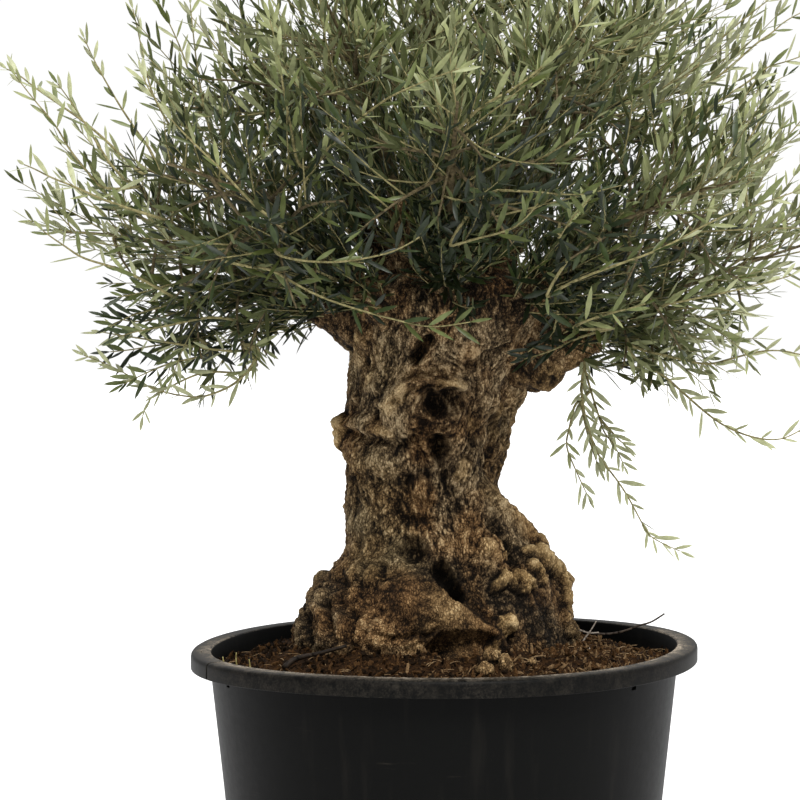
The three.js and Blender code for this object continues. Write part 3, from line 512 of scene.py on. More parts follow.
# The photograph's camera: an 800 pixel frame with its horizon 105 pixels over the middle
FRAME_PIXELS = 800
FOCAL_PIXELS = 2598
HORIZON_RISE = 105
CAMERA_PLACE = (-0.059, -3.500, 0.973)
SENSOR_WIDTH = 36
FLOOR_HALF = 30.0
KEY_STRENGTH = 3.3
KEY_SPREAD = 30
KEY_TURN = (38, 0, 12)


# Numbers and noise

def chance(a, b, c):
    """A repeatable number from 0 to 1 for three whole numbers: the fraction of a scaled sine."""
    wave = np.sin(np.asarray(a) * 127.1 + np.asarray(b) * 311.7 + np.asarray(c) * 74.7) * 43758.5453
    return wave - np.floor(wave)


def unit(vectors):
    """The same directions at length 1."""
    return vectors / np.maximum(np.linalg.norm(vectors, axis=-1, keepdims=True), 1e-12)


def smooth(low, high, value):
    """Rises from 0 at low to 1 at high along a cubic ramp."""
    share = np.clip((value - low) / (high - low), 0, 1)
    return share * share * (3 - 2 * share)


def across_of(direction):
    """A direction across each given one, close to level."""
    return unit(np.cross(np.array([0.05, 0.03, 1.0]), direction))


def lattice(cell, seed):
    """A repeatable number from -1 to 1 for each whole-number cell, by mixed products of its places."""
    mixed = cell[..., 0] * 374761393 + cell[..., 1] * 668265263 + cell[..., 2] * 1442695041 + seed * 97531
    mixed = (mixed ^ (mixed >> 13)) * 1274126177
    mixed = (mixed ^ (mixed >> 16)) & 0xFFFFFF
    return mixed / 0x7FFFFF - 1


def noise(points, seed):
    """Value noise from -1 to 1: the eight lattice values round a point, blended by a quintic ramp."""
    cell = np.floor(points).astype(np.int64)
    part = points - cell
    part = part ** 3 * (part * (part * 6 - 15) + 10)
    total = np.zeros(points.shape[:-1])
    for corner in np.ndindex(2, 2, 2):
        weight = np.prod(np.where(np.array(corner) == 1, part, 1 - part), axis=-1)
        total += weight * lattice(cell + np.array(corner), seed)
    return total


def noise_vector(points, seed):
    """Three noises as one vector."""
    return np.stack([noise(points, seed + k) for k in range(3)], axis=-1)


def cells(points, seed):
    """Scattered cells, one seed point in each lattice cube: the gap between the nearest two distances,
    zero on the cracks between cells, and the nearest cell's own number from -1 to 1."""
    base = np.floor(points).astype(np.int64)
    nearest = np.full(points.shape[:-1], 9.0)
    second = np.full(points.shape[:-1], 9.0)
    own = np.zeros(points.shape[:-1])
    for step in np.ndindex(3, 3, 3):
        cell = base + np.array(step) - 1
        spot = cell + 0.5 + 0.45 * np.stack([lattice(cell, seed + k) for k in range(3)], axis=-1)
        distance = np.linalg.norm(points - spot, axis=-1)
        closer = distance < nearest
        second = np.where(closer, nearest, np.minimum(second, distance))
        own = np.where(closer, lattice(cell, seed + 9), own)
        nearest = np.where(closer, distance, nearest)
    return second - nearest, own


def layered(points, octaves, seed):
    """Noise summed over octaves, each twice as fine and half as strong as the last."""
    return sum(noise(points * 2 ** k, seed + 7 * k) * 0.5 ** k for k in range(octaves))


# Meshes

def new_piece(name, points, face_groups, materials, face_materials=None, values=None, smooth_shaded=True):
    """A mesh object from a vertex array and arrays of faces, riding on the part's only body."""
    mesh = bpy.data.meshes.new(name)
    corners = np.concatenate([group.ravel() for group in face_groups])
    sizes = np.concatenate([np.full(len(group), group.shape[1]) for group in face_groups])
    mesh.vertices.add(len(points))
    mesh.vertices.foreach_set("co", np.asarray(points, np.float32).ravel())
    mesh.loops.add(len(corners))
    mesh.loops.foreach_set("vertex_index", corners.astype(np.int32))
    mesh.polygons.add(len(sizes))
    mesh.polygons.foreach_set("loop_start", np.concatenate([[0], np.cumsum(sizes)[:-1]]).astype(np.int32))
    mesh.polygons.foreach_set("use_smooth", np.full(len(sizes), smooth_shaded))
    for material in materials:
        mesh.materials.append(material)
    if face_materials is not None:
        mesh.polygons.foreach_set("material_index", np.asarray(face_materials, np.int32))
    for label, numbers in (values or {}).items():
        layer = mesh.attributes.new(label, "FLOAT", "POINT")
        layer.data.foreach_set("value", np.asarray(numbers, np.float32).ravel())
    mesh.update(calc_edges=True)
    piece = bpy.data.objects.new(name, mesh)
    bpy.context.scene.collection.objects.link(piece)
    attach(piece, "root")
    return piece


def ring_faces(rows, columns):
    """Quads of a grid of rows that is closed round its columns, seen from outside with rows going up."""
    row, column = np.meshgrid(np.arange(rows - 1), np.arange(columns), indexing="ij")
    following = (column + 1) % columns
    quads = np.stack([row * columns + column, row * columns + following,
                      (row + 1) * columns + following, (row + 1) * columns + column], axis=-1)
    return quads.reshape(-1, 4)


def fan_faces(ring_start, columns, pole, upward):
    """Triangles from a ring of vertices to one pole vertex."""
    column = np.arange(columns)
    following = (column + 1) % columns
    fan = np.stack([ring_start + column, ring_start + following, np.full(columns, pole)], axis=-1)
    return fan if upward else fan[:, ::-1]


def closed_grid(rings, foot, head):
    """Points and faces of a tube of rings with a pole at each end."""
    rows, columns = rings.shape[:2]
    points = np.concatenate([rings.reshape(-1, 3), [foot], [head]])
    count = rows * columns
    return points, [
        ring_faces(rows, columns),
        fan_faces(0, columns, count, False),
        fan_faces(count - columns, columns, count + 1, True),
    ]


def bezier(first, middle, last, share):
    """Points and directions of quadratic curves: the weights are (1-u)(1-u), 2u(1-u) and uu."""
    share = np.asarray(share)[..., None]
    point = (1 - share) ** 2 * first + 2 * share * (1 - share) * middle + share ** 2 * last
    tangent = 2 * (1 - share) * (middle - first) + 2 * share * (last - middle)
    return point, unit(tangent)


def tubes(first, middle, last, thick, thin, sides, steps, taper=1):
    """Many tapering tubes along quadratic curves, as one point array and its quads and end caps. The
    radius falls from thick to thin by a power of the share left."""
    count = len(first)
    thick, thin = (np.broadcast_to(radius, count) for radius in (thick, thin))
    share = np.broadcast_to(np.linspace(0, 1, steps + 1), (count, steps + 1))
    point, tangent = bezier(first[:, None], middle[:, None], last[:, None], share)
    level = across_of(tangent)
    rise = np.cross(tangent, level)
    turn = np.arange(sides) * 2 * math.pi / sides
    left = (1 - share) ** taper
    radius = (thin[:, None] + (thick - thin)[:, None] * left)[..., None, None]
    around = level[:, :, None] * np.cos(turn)[:, None] + rise[:, :, None] * np.sin(turn)[:, None]
    points = (point[:, :, None] + around * radius).reshape(-1, 3)
    each = (steps + 1) * sides
    starts = (np.arange(count) * each)[:, None, None]
    quads = (ring_faces(steps + 1, sides)[None] + starts).reshape(-1, 4)
    foot = (np.arange(sides)[::-1][None] + np.arange(count)[:, None] * each)
    head = (np.arange(sides)[None] + steps * sides + np.arange(count)[:, None] * each)
    return points, [quads, np.concatenate([foot, head])]


def join(parts):
    """Joins point arrays and their face arrays into one of each, keeping faces of one size together."""
    points, faces, offset = [], {}, 0
    for part_points, groups in parts:
        for group in groups:
            faces.setdefault(group.shape[1], []).append(group + offset)
        points.append(part_points)
        offset += len(part_points)
    return np.concatenate(points), [np.concatenate(groups) for groups in faces.values()]


# Shader maths

class Value:
    """A shader number. Arithmetic on it adds Math nodes to its material."""

    def __init__(self, paint, socket):
        self.paint = paint
        self.socket = socket

    def math(self, operation, *others):
        """A Math node on this number and others."""
        inputs = dict(enumerate((self, *others)))
        return self.paint.node("ShaderNodeMath", {"operation": operation}, inputs)

    def __add__(self, other):
        return self.math("ADD", other)

    def __mul__(self, other):
        return self.math("MULTIPLY", other)

    def __sub__(self, other):
        return self.math("SUBTRACT", other)

    def __rsub__(self, other):
        return self.paint.node("ShaderNodeMath", {"operation": "SUBTRACT"}, {0: other, 1: self})

    __radd__ = __add__
    __rmul__ = __mul__

    def ramp(self, low, high):
        """0 at low, 1 at high, eased between."""
        limits = {"Value": self, "From Min": low, "From Max": high}
        return self.paint.node("ShaderNodeMapRange", {"interpolation_type": "SMOOTHSTEP"}, limits)


class Paint:
    """One material and the nodes that feed its Principled shader."""

    def __init__(self, name, kind="materials", shader="Principled BSDF"):
        self.material = getattr(bpy.data, kind).new(name)
        self.material.use_nodes = True
        self.nodes = self.material.node_tree.nodes
        self.links = self.material.node_tree.links
        self.shader = self.nodes[shader]

    def node(self, kind, settings=None, sockets=None, output=0):
        """Adds a node: its settings first, then a number, colour or link for each named socket."""
        made = self.nodes.new(kind)
        for key, setting in (settings or {}).items():
            if key == "stops":
                self.set_stops(made.color_ramp, setting)
            else:
                setattr(made, key, setting)
        for key, given in (sockets or {}).items():
            self.feed(made.inputs[key], given)
        return Value(self, made.outputs[output])

    def feed(self, socket, given):
        """Links a value to a socket, or sets the socket's constant."""
        if isinstance(given, Value):
            self.links.new(given.socket, socket)
        else:
            socket.default_value = given

    @staticmethod
    def set_stops(ramp, stops):
        """Gives a colour ramp its places and colours."""
        while len(ramp.elements) < len(stops):
            ramp.elements.new(0.5)
        for element, (place, colour) in zip(ramp.elements, stops):
            element.position = place
            element.color = (*colour, 1)

    def place(self, scale=(1, 1, 1)):
        """Object coordinates, scaled."""
        spot = self.node("ShaderNodeTexCoord", output="Object")
        return self.node("ShaderNodeMapping", None, {"Vector": spot, "Scale": scale})

    def speckle(self, scale, detail=4.0, stretch=(1, 1, 1), roughness=0.55):
        """Noise over Object coordinates."""
        return self.node("ShaderNodeTexNoise", None, {
            "Vector": self.place(stretch), "Scale": scale, "Detail": detail, "Roughness": roughness})

    def bent(self, amount, scale, stretch):
        """Object coordinates pushed about by noise, then scaled."""
        spot = self.node("ShaderNodeTexCoord", output="Object")
        pattern = {"Vector": spot, "Scale": scale, "Detail": 2.0}
        shift = self.node("ShaderNodeTexNoise", None, pattern, output="Color")
        inputs = {0: shift, 1: (amount,) * 3, 2: spot}
        moved = self.node("ShaderNodeVectorMath", {"operation": "MULTIPLY_ADD"}, inputs)
        return self.node("ShaderNodeMapping", None, {"Vector": moved, "Scale": stretch})

    def cells(self, vector, scale, feature, output):
        """Scattered cells: the distance to their edges, or a tone of each one's own."""
        inputs = {"Vector": vector, "Scale": scale}
        return self.node("ShaderNodeTexVoronoi", {"feature": feature}, inputs, output=output)

    def attribute(self, name):
        """A number that the mesh holds at each point."""
        return self.node("ShaderNodeAttribute", {"attribute_name": name}, output="Fac")

    def colours(self, factor, stops):
        """A colour ramp read at a factor."""
        return self.node("ShaderNodeValToRGB", {"stops": stops}, {"Fac": factor})

    def blend(self, factor, first, second):
        """Mixes two colours, given as links or as red, green and blue."""
        def given(colour):
            return colour if isinstance(colour, Value) else (*colour, 1)
        settings = {"data_type": "RGBA", "clamp_factor": True}
        inputs = {0: factor, 6: given(first), 7: given(second)}
        return self.node("ShaderNodeMix", settings, inputs, output=2)

    def bump(self, height, strength, distance):
        """The normal, tilted by the slope of a height."""
        inputs = {"Height": height, "Strength": strength, "Distance": distance}
        return self.node("ShaderNodeBump", None, inputs)

    def finish(self, **sockets):
        """Sets the Principled shader's sockets, with underscores for the spaces in their names."""
        for key, given in sockets.items():
            if isinstance(given, tuple):
                given = (*given, 1)
            self.feed(self.shader.inputs[key.replace("_", " ")], given)
        return self.material


def bark_paint():
    """Furrowed bark: dark in creases as painted shade, dark between flecks, brown on its face, tan where it
    is worn, and lighter on ridges and raised places as painted light.
    """
    paint = Paint("bark")
    relief = paint.attribute("relief")
    steady = 1 - paint.attribute("calm") * 0.55
    bent = paint.bent(0.007, 120, (1, 1, 0.55))
    gaps = paint.cells(bent, 290, "DISTANCE_TO_EDGE", "Distance").ramp(0.0, 0.22)
    tones = paint.cells(bent, 290, "F1", "Color")
    grain = paint.speckle(430, 3, (1, 1, 0.6), 0.70)
    mottle = paint.speckle(150, 4, (1, 1, 0.5), 0.65)
    patches = paint.speckle(20, 4)
    bright = grain.ramp(0.60, 0.72)
    flecks = gaps * 0.20 + tones * 0.26 + grain * 0.92 + mottle * 0.34 + bright * 0.16 - 0.92
    # How light each place is painted: the bark's own tone with painted light on raised places and painted
    # shade in hollows and creases, read from the mesh, then flecks and broad patches
    lit = relief * 0.95 + flecks * steady + patches * 0.26 - 0.06
    colour = paint.colours(lit, list(zip(BARK_STEPS, BARK_TONES["plain"])))
    for layer in ("warmth", "olive", "burl"):
        tone = paint.colours(lit, list(zip(BARK_STEPS, BARK_TONES[layer])))
        colour = paint.blend(paint.attribute(layer), colour, tone)
    normal = paint.bump((gaps * 0.5 + tones * 0.4 + mottle * 0.6 + grain * 0.5) * steady, 1.0, 0.0042)
    return paint.finish(Base_Color=colour, Roughness=0.98 - grain * 0.2, Normal=normal,
                        Specular_IOR_Level=0.10)


def twig_paint(name, dark, light, scale):
    """Thin smooth bark, mottled along its length."""
    paint = Paint(name)
    mottle = paint.speckle(scale, 4)
    colour = paint.blend(mottle.ramp(0.3, 0.7), dark, light)
    normal = paint.bump(mottle, 0.3, 0.0006)
    return paint.finish(Base_Color=colour, Roughness=0.75 - mottle * 0.2, Normal=normal,
                        Specular_IOR_Level=0.15)


def leaf_paint(name, tint, gloss, shine):
    """One tint of leaf, with a faint lighter mottle."""
    paint = Paint(name)
    mottle = paint.speckle(90, 3)
    lighter = tuple(min(1.0, 1.35 * part + 0.01) for part in tint)
    colour = paint.blend(mottle.ramp(0.35, 0.75), tint, lighter)
    return paint.finish(Base_Color=colour, Roughness=gloss + mottle * 0.14, Specular_IOR_Level=shine)


def soil_paint(name, dark, light, scale):
    """Crumbly peat: red-brown, patchy and quite dull."""
    paint = Paint(name)
    crumb = paint.speckle(scale, 6, roughness=0.7)
    patches = paint.speckle(24, 3)
    colour = paint.blend((crumb * 1.2 + patches * 0.4 - 0.3).ramp(0.3, 0.75), dark, light)
    normal = paint.bump(crumb, 0.9, 0.003)
    return paint.finish(Base_Color=colour, Roughness=0.96 - crumb * 0.1, Normal=normal,
                        Specular_IOR_Level=0.06)


def tub_paint():
    """Black moulded plastic, scuffed, with faint streaks down its wall and a film of dust on its rim, which
    also stands in for a painted sheen of light off the rim's top.
    """
    paint = Paint("tub_plastic")
    dirt = paint.speckle(90, 6, roughness=0.7)
    grit = paint.speckle(420, 4, roughness=0.7)
    runs = paint.speckle(45, 4, (1, 1, 0.06))
    scuffs = paint.speckle(30, 6, (0.25, 0.25, 3.0), 0.7)
    patches = paint.speckle(11, 3).ramp(0.38, 0.62) * 0.55 + 0.45
    film = (dirt * 0.6 + grit * 0.6).ramp(0.48, 0.80) * patches * 1.6
    # The dust on the rim is also a painted sheen, light reflected off the rim's top
    dust = paint.attribute("dusty") * film
    marks = scuffs.ramp(0.64, 0.76) * 0.03 + runs.ramp(0.55, 0.8) * 0.010 + grit.ramp(0.70, 0.78) * 0.06
    colour = paint.blend(dust + marks, (0.0022, 0.0023, 0.0021), (0.390, 0.330, 0.255))
    normal = paint.bump(dirt * 0.5 + scuffs * 0.5, 0.12, 0.0014)
    return paint.finish(Base_Color=colour, Roughness=0.42 + dust * 0.4 + dirt * 0.16, Normal=normal,
                        Specular_IOR_Level=0.060)


# Trunk

def station_value(height, column):
    """A cubic Hermite curve through one column of the stations, its slopes taken from both neighbours."""
    spots, values = TRUNK_STATIONS[:, 0], TRUNK_STATIONS[:, column]
    last = len(spots) - 1
    index = np.arange(last + 1)
    before, after = np.maximum(index - 1, 0), np.minimum(index + 1, last)
    slopes = (values[after] - values[before]) / (spots[after] - spots[before])
    i = np.clip(np.searchsorted(spots, height) - 1, 0, last - 1)
    span = spots[i + 1] - spots[i]
    u = np.clip((height - spots[i]) / span, 0, 1)
    rise = u * u * (3 - 2 * u)
    bend = slopes[i] * u * (1 - u) ** 2 - slopes[i + 1] * u * u * (1 - u)
    return values[i] * (1 - rise) + values[i + 1] * rise + span * bend


def trunk_core(angle, height):
    """The bare trunk: its middle at a height plus a radius with a few slow lobes round it."""
    lobes = 1 + sum(share * np.sin(count * angle) * np.cos(drift * height)
                    for count, share, drift in TRUNK_LOBES)
    radius = station_value(height, 2) * lobes
    return np.stack([station_value(height, 1) + radius * np.cos(angle),
                     TRUNK_DEPTH * radius * np.sin(angle), GROUND + height], axis=-1)


def path_on_trunk(path):
    """Points on the bare trunk, from degrees from the front and height."""
    spots = np.array(path, float)
    return trunk_core(np.radians(spots[:, 0] - 90), spots[:, 1])


def on_trunk(rows):
    """Features on the trunk from rows that end in a path, a half-width and a size."""
    return [(path_on_trunk(path), width, size) for *_, path, width, size in rows]


def distance_to_path(points, path):
    """Distance from each point to a chain of straight stretches."""
    if len(path) == 1:
        return np.linalg.norm(points - path[0], axis=-1)
    least = np.full(points.shape[:-1], np.inf)
    for start, end in zip(path[:-1], path[1:]):
        along = end - start
        share = np.clip((points - start) @ along / (along @ along), 0, 1)
        least = np.minimum(least, np.linalg.norm(points - start - share[..., None] * along, axis=-1))
    return least


def strongest(points, features, power):
    """The highest of many rounded bumps, size * (1 - dd) ** power, so neighbours meet in creases."""
    most = np.zeros(points.shape[:-1])
    for path, width, size in features:
        share = distance_to_path(points, path) / width
        most = np.maximum(most, size * np.clip(1 - share * share, 0, 1) ** power)
    return most


def closeness(points, features):
    """Distance to the nearest of many features, as a share of that one's width."""
    return np.minimum.reduce([distance_to_path(points, path) / width for path, width, _ in features])


def patch(points, path, width):
    """Strength of a place on the bark: 1 along its path, falling to 0 at its half-width."""
    return strongest(points, [(path_on_trunk(path), width, 1.0)], 0.8)


def knob_features():
    """The burls: crisp nodules, then softer lumps, those of the back by a seeded rule."""
    k = np.arange(BACK_KNOBS["count"])
    size = 0.75 + 0.5 * chance(k, 3, 1)
    (first, last), (low, high) = BACK_KNOBS["angles"], BACK_KNOBS["heights"]
    back = np.stack([first + (last - first) * chance(k, 1, 1), low + (high - low) * chance(k, 2, 1),
                     BACK_KNOBS["width"] * size, BACK_KNOBS["size"] * size], axis=-1)
    lumps = [([(angle, height)], width, size)
             for angle, height, width, size in np.concatenate([KNOBS, back])]
    return on_trunk(NODULES), on_trunk(lumps)


def streaks(points, flow, width, reach, seed):
    """Noise smeared along the grain: its mean at steps of one width along the flow through each point."""
    total = sum(noise(points / width + flow * step, seed) for step in range(-reach, reach + 1))
    return total / math.sqrt(2 * reach + 1)


def bark_relief(place, flow, calm, crumbly):
    """Bark over a limb, in metres, and how light it is: broad lumps, knots, streaks along the grain and
    flakes with cracks between, raised places painted lighter and low ones darker as light and shade. Calm
    areas are smoother, and crumbly ones have pebbles for streaks."""
    bent = place + 0.007 * noise_vector(place / 0.045, 11) + 0.0020 * noise_vector(place / 0.010, 15)
    lumps = layered(bent / np.array([0.060, 0.060, 0.085]), 2, 21)
    knots = layered(bent / np.array([0.018, 0.018, 0.027]), 2, 25)
    broad = streaks(bent, flow, 0.0075, 2, 31)
    fine = streaks(bent, flow, 0.0034, 1, 35)
    fibre = streaks(bent, flow, 0.0019, 2, 39)
    gap, tone = cells(bent / np.array([0.0062, 0.0062, 0.0125]), 43)
    flakes = smooth(0, 0.5, gap) - 0.6
    rough = 1 - 0.65 * calm
    furrows = 0.0020 * broad + 0.0014 * fine + 0.0006 * fibre + 0.0011 * flakes + 0.0004 * tone
    streaked = 0.17 * broad + 0.28 * fine + 0.30 * fibre + 0.16 * flakes + 0.13 * tone
    gap, tone = cells(bent / 0.0075, 47)
    pebbles = smooth(0, 0.6, gap) - 0.55
    furrows = furrows * (1 - 0.6 * crumbly) + crumbly * (0.0024 * pebbles + 0.0010 * tone)
    streaked = streaked * (1 - 0.6 * crumbly) + crumbly * (0.26 * pebbles + 0.20 * tone)
    offset = 0.0042 * lumps + 0.0027 * knots + rough * furrows
    shade = 0.50 + 0.11 * lumps + 0.14 * knots + rough * streaked
    return offset, shade


def flow_on_trunk(core, slope):
    """Direction of the grain: upward with slow waves, round the main knothole, and along the buttress."""
    flow = np.array([0, 0, 1.0]) + 0.40 * noise_vector(core / 0.055, 51)
    away = core - path_on_trunk([EYE])[0]
    distance = np.linalg.norm(away, axis=-1, keepdims=True)
    circling = np.stack([-away[..., 2], np.zeros_like(away[..., 1]), away[..., 0]], axis=-1) / distance
    circling = circling * np.where(circling[..., 2:] < 0, -1, 1)
    near = 1 - smooth(0.040, 0.095, distance)
    flow = flow * (1 - near) + 1.6 * circling * near
    start, end = path_on_trunk([BUTTRESS[0], BUTTRESS[-1]])
    return unit(flow * (1 - slope[..., None]) + unit(end - start) * slope[..., None])


def trunk_grid():
    """Height, place and outward direction of each point of the bare trunk. Columns stand closest at the
    front: the angle is u less a share of sin u."""
    turn = np.arange(TRUNK_COLUMNS) * 2 * math.pi / TRUNK_COLUMNS
    angle = turn - FRONT_FAVOUR * np.sin(turn) - math.pi / 2
    height = np.linspace(0, TRUNK_STATIONS[-1, 0], TRUNK_ROWS)
    height, angle = np.meshgrid(height, angle, indexing="ij")
    core = trunk_core(angle, height)
    around = np.roll(core, -1, axis=1) - np.roll(core, 1, axis=1)
    return height, core, unit(np.cross(around, np.gradient(core, axis=0)))


def trunk_forms(core):
    """Forms over the bare trunk, in metres, and places on its bark, from 0 to 1. They are measured from
    points pushed about by noise, which ruffles their edges."""
    seen = core + 0.0055 * noise_vector(core / 0.034, 91) + 0.0024 * noise_vector(core / 0.011, 95)
    ruffled = seen + 0.0022 * noise_vector(core / 0.0055, 99)
    nodules, lumps = knob_features()
    round_ones = strongest(ruffled, nodules, 0.55)
    lips = [(path, 1.8 * width, 0.16 * depth) for path, width, depth in on_trunk(HOLLOWS[:LIPPED_HOLLOWS])]
    return SimpleNamespace(
        seen=seen,
        ridges=strongest(seen, on_trunk(RIDGES), 1.3),
        nodules=round_ones,
        # Rings round the nodules and the lumps, where painted shade darkens the bark at their edges
        nodule_edge_shade=np.exp(-((closeness(ruffled, nodules) - 1.04) / 0.16) ** 2),
        knobs=np.maximum(round_ones, strongest(seen, lumps, 0.8)),
        lump_edge_shade=np.exp(-((closeness(seen, lumps) - 1.0) / 0.17) ** 2),
        hollows=strongest(seen, on_trunk(HOLLOWS), 0.9),
        cave=strongest(seen, on_trunk(HOLLOWS[-1:]), 0.9),
        lips=strongest(seen, lips, 1.0),
        creases=strongest(seen, on_trunk(CREASES), 1.0),
        slope=patch(seen, BUTTRESS, BUTTRESS_WIDTH),
        root=patch(seen, ROOT_RIDGE, ROOT_RIDGE_WIDTH),
        # Worn places, also painted lighter as highlights
        worn=np.maximum.reduce([patch(seen, path, width) for path, width in WORN_AND_HIGHLIT_PATCHES]),
    )


def trunk_layers(core, height, forms, calm, shade):
    """What the bark's paint reads: how light each place is, with painted light and shade in it, and how warm,
    olive, burled and calm.
    """
    on_nodules = smooth(0.003, 0.009, forms.nodules)
    on_lumps = smooth(0.004, 0.012, forms.knobs - forms.nodules)
    dark = patch(forms.seen, *DARK_PATCH) * (1 - calm)
    lit_flank = patch(forms.seen, *LIT_FLANK_PATCH)
    olive = patch(forms.seen, *OLIVE_PATCH)
    warm = np.maximum.reduce([patch(forms.seen, path, width) for path, width in WARM_PATCHES])
    # Raised knobs, nodules and ridges painted lighter, partly their own tan and partly painted light; hollows
    # and creases painted darker as shade, less in the reddish root cave
    relief = shade + 13 * forms.knobs + 7 * forms.nodules + 12 * forms.ridges
    relief += 11 * forms.cave - 15 * forms.hollows - 32 * forms.creases
    relief += (0.22 * noise(core / 0.011, 121) - 0.02) * on_nodules
    # Painted shade in a ring round each nodule and lump
    relief -= 0.40 * forms.nodule_edge_shade + 0.26 * forms.lump_edge_shade
    # Worn places painted lighter, as worn bark and as a painted highlight, and the buttress slope and the
    # dark patch darker
    relief += 0.17 * forms.worn - 0.33 * forms.slope - 0.24 * dark + 0.03
    # Steps by height, with painted light on the upper trunk and a painted shadow of the crown on its head
    relief += sum(change * smooth(low, high, height) for low, high, change in TONE_AND_LIGHT_STEPS)
    # Lighter and darker places, among them painted shade in folds and hollows, a painted shadow of the crown
    # and painted light on the flank
    relief += sum(change * patch(forms.seen, path, width) for _, path, width, change in TONE_AND_SHADE_PATCHES)
    warmth = 0.44 + 0.95 * noise(core / 0.032, 61) + 0.9 * warm - 0.25 * dark - 0.3 * lit_flank
    return {
        "relief": relief,
        "warmth": np.clip(warmth, 0, 1),
        "olive": np.clip(0.6 * olive + 0.4 * noise(core / 0.08, 67), 0, 1),
        "burl": 0.72 * on_nodules + 0.35 * on_lumps + 0.35 * forms.root + 0.45 * forms.worn,
        "calm": calm,
    }


def make_trunk(bark):
    """The trunk: its core, pushed out along normals by ridges, burls and bark, and in by hollows."""
    height, core, outward = trunk_grid()
    forms = trunk_forms(core)
    calm = np.maximum.reduce([
        0.55 * smooth(0.003, 0.009, forms.nodules), 0.25 * smooth(0.002, 0.010, forms.knobs),
        0.5 * forms.slope, 0.5 * forms.root, 0.55 * forms.worn,
    ])
    crumbly = (1 - smooth(0.11, 0.19, height)) * (1 - 0.5 * forms.slope)
    bark_offset, shade = bark_relief(core, flow_on_trunk(core, forms.slope), calm, crumbly)
    raised = np.maximum(forms.ridges, forms.knobs) + 0.35 * np.minimum(forms.ridges, forms.knobs)
    raised += forms.lips * np.exp(-forms.hollows / 0.002)
    lift = smooth(0, FOOT_BLEND, height)
    outward[..., 2] *= lift
    place = core + outward * (raised - forms.hollows - forms.creases + bark_offset)[..., None]
    place[..., 2] = np.maximum(place[..., 2], GROUND + height * (1 - lift))
    place[0, :, 2] = GROUND - FOOT_DEPTH
    head = place[-1].mean(axis=0) + np.array([0, 0, 0.004])
    points, faces = closed_grid(place, place[0].mean(axis=0), head)
    layers = trunk_layers(core, height, forms, calm, shade)
    values = {name: np.append(layer, (0.3, 0.3)) for name, layer in layers.items()}
    trunk = new_piece("trunk_bark", points, faces, [bark], values=values)
    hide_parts("trunk")


def make_nubs(bark):
    """Knobs of root in the soil by the trunk: spheres by two angles, stretched and lumpy by noise."""
    polar, turn = np.meshgrid(np.linspace(math.pi, 0, NUB_ROWS + 2)[1:-1],
                              np.arange(NUB_COLUMNS) * 2 * math.pi / NUB_COLUMNS, indexing="ij")
    ball = np.stack([np.sin(polar) * np.cos(turn), np.sin(polar) * np.sin(turn), np.cos(polar)], axis=-1)
    parts, shades = [], []
    for spot, size in NUBS:
        place = np.array(spot)
        lumps = layered((place + 0.02 * ball) / 0.011, 3, 131)
        rings = place + ball * np.array(size) * (1 + 0.16 * lumps)[..., None]
        parts.append(closed_grid(rings, place - [0, 0, size[2]], place + [0, 0, size[2]]))
        # Painted light and shade: lighter where the lumps stand out, darker on the underside
        shade = 0.62 + 0.24 * lumps - 0.35 * (1 - smooth(-0.6, 0.3, ball[..., 2]))
        shades.append(np.append(shade, (0.3, 0.6)))
    values = {"relief": np.concatenate(shades)}
    for name, amount in (("warmth", 0.6), ("olive", 0.0), ("burl", 0.35), ("calm", 0.3)):
        values[name] = np.full(len(values["relief"]), amount)
    nubs = new_piece("root_nubs", *join(parts), [bark], values=values)
    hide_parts("trunk")


# Boughs

def direction_of(azimuth, elevation):
    """Directions of length 1, from degrees round from +X and up."""
    azimuth, elevation = np.radians(azimuth), np.radians(elevation)
    level = np.cos(elevation)
    return np.stack([level * np.cos(azimuth), level * np.sin(azimuth), np.sin(elevation)], axis=-1)


(AZIMUTHS, ELEVATIONS, LENGTHS, HEART_RADII, TIP_RADII,
 DROPS, SAGS) = np.array(list(BOUGHS.values()), float).T
DIRECTIONS = direction_of(AZIMUTHS, ELEVATIONS)
FOLIAGE_NODES = [f"foliage_{name}" for name in (*BOUGHS, "hanging")]


def bough_curves():
    """Each bough leaves the heart level, a little below it, and bends up to its own direction."""
    length, drop, sag = (column[:, None] for column in (LENGTHS, DROPS, SAGS))
    down = np.array([0, 0, -1.0])
    root = HEART + down * drop * (1 - DIRECTIONS[:, 2:])
    level = DIRECTIONS * np.array([1, 1, 0.6]) * 0.55 * length
    return root, root + level, HEART + DIRECTIONS * length + down * sag


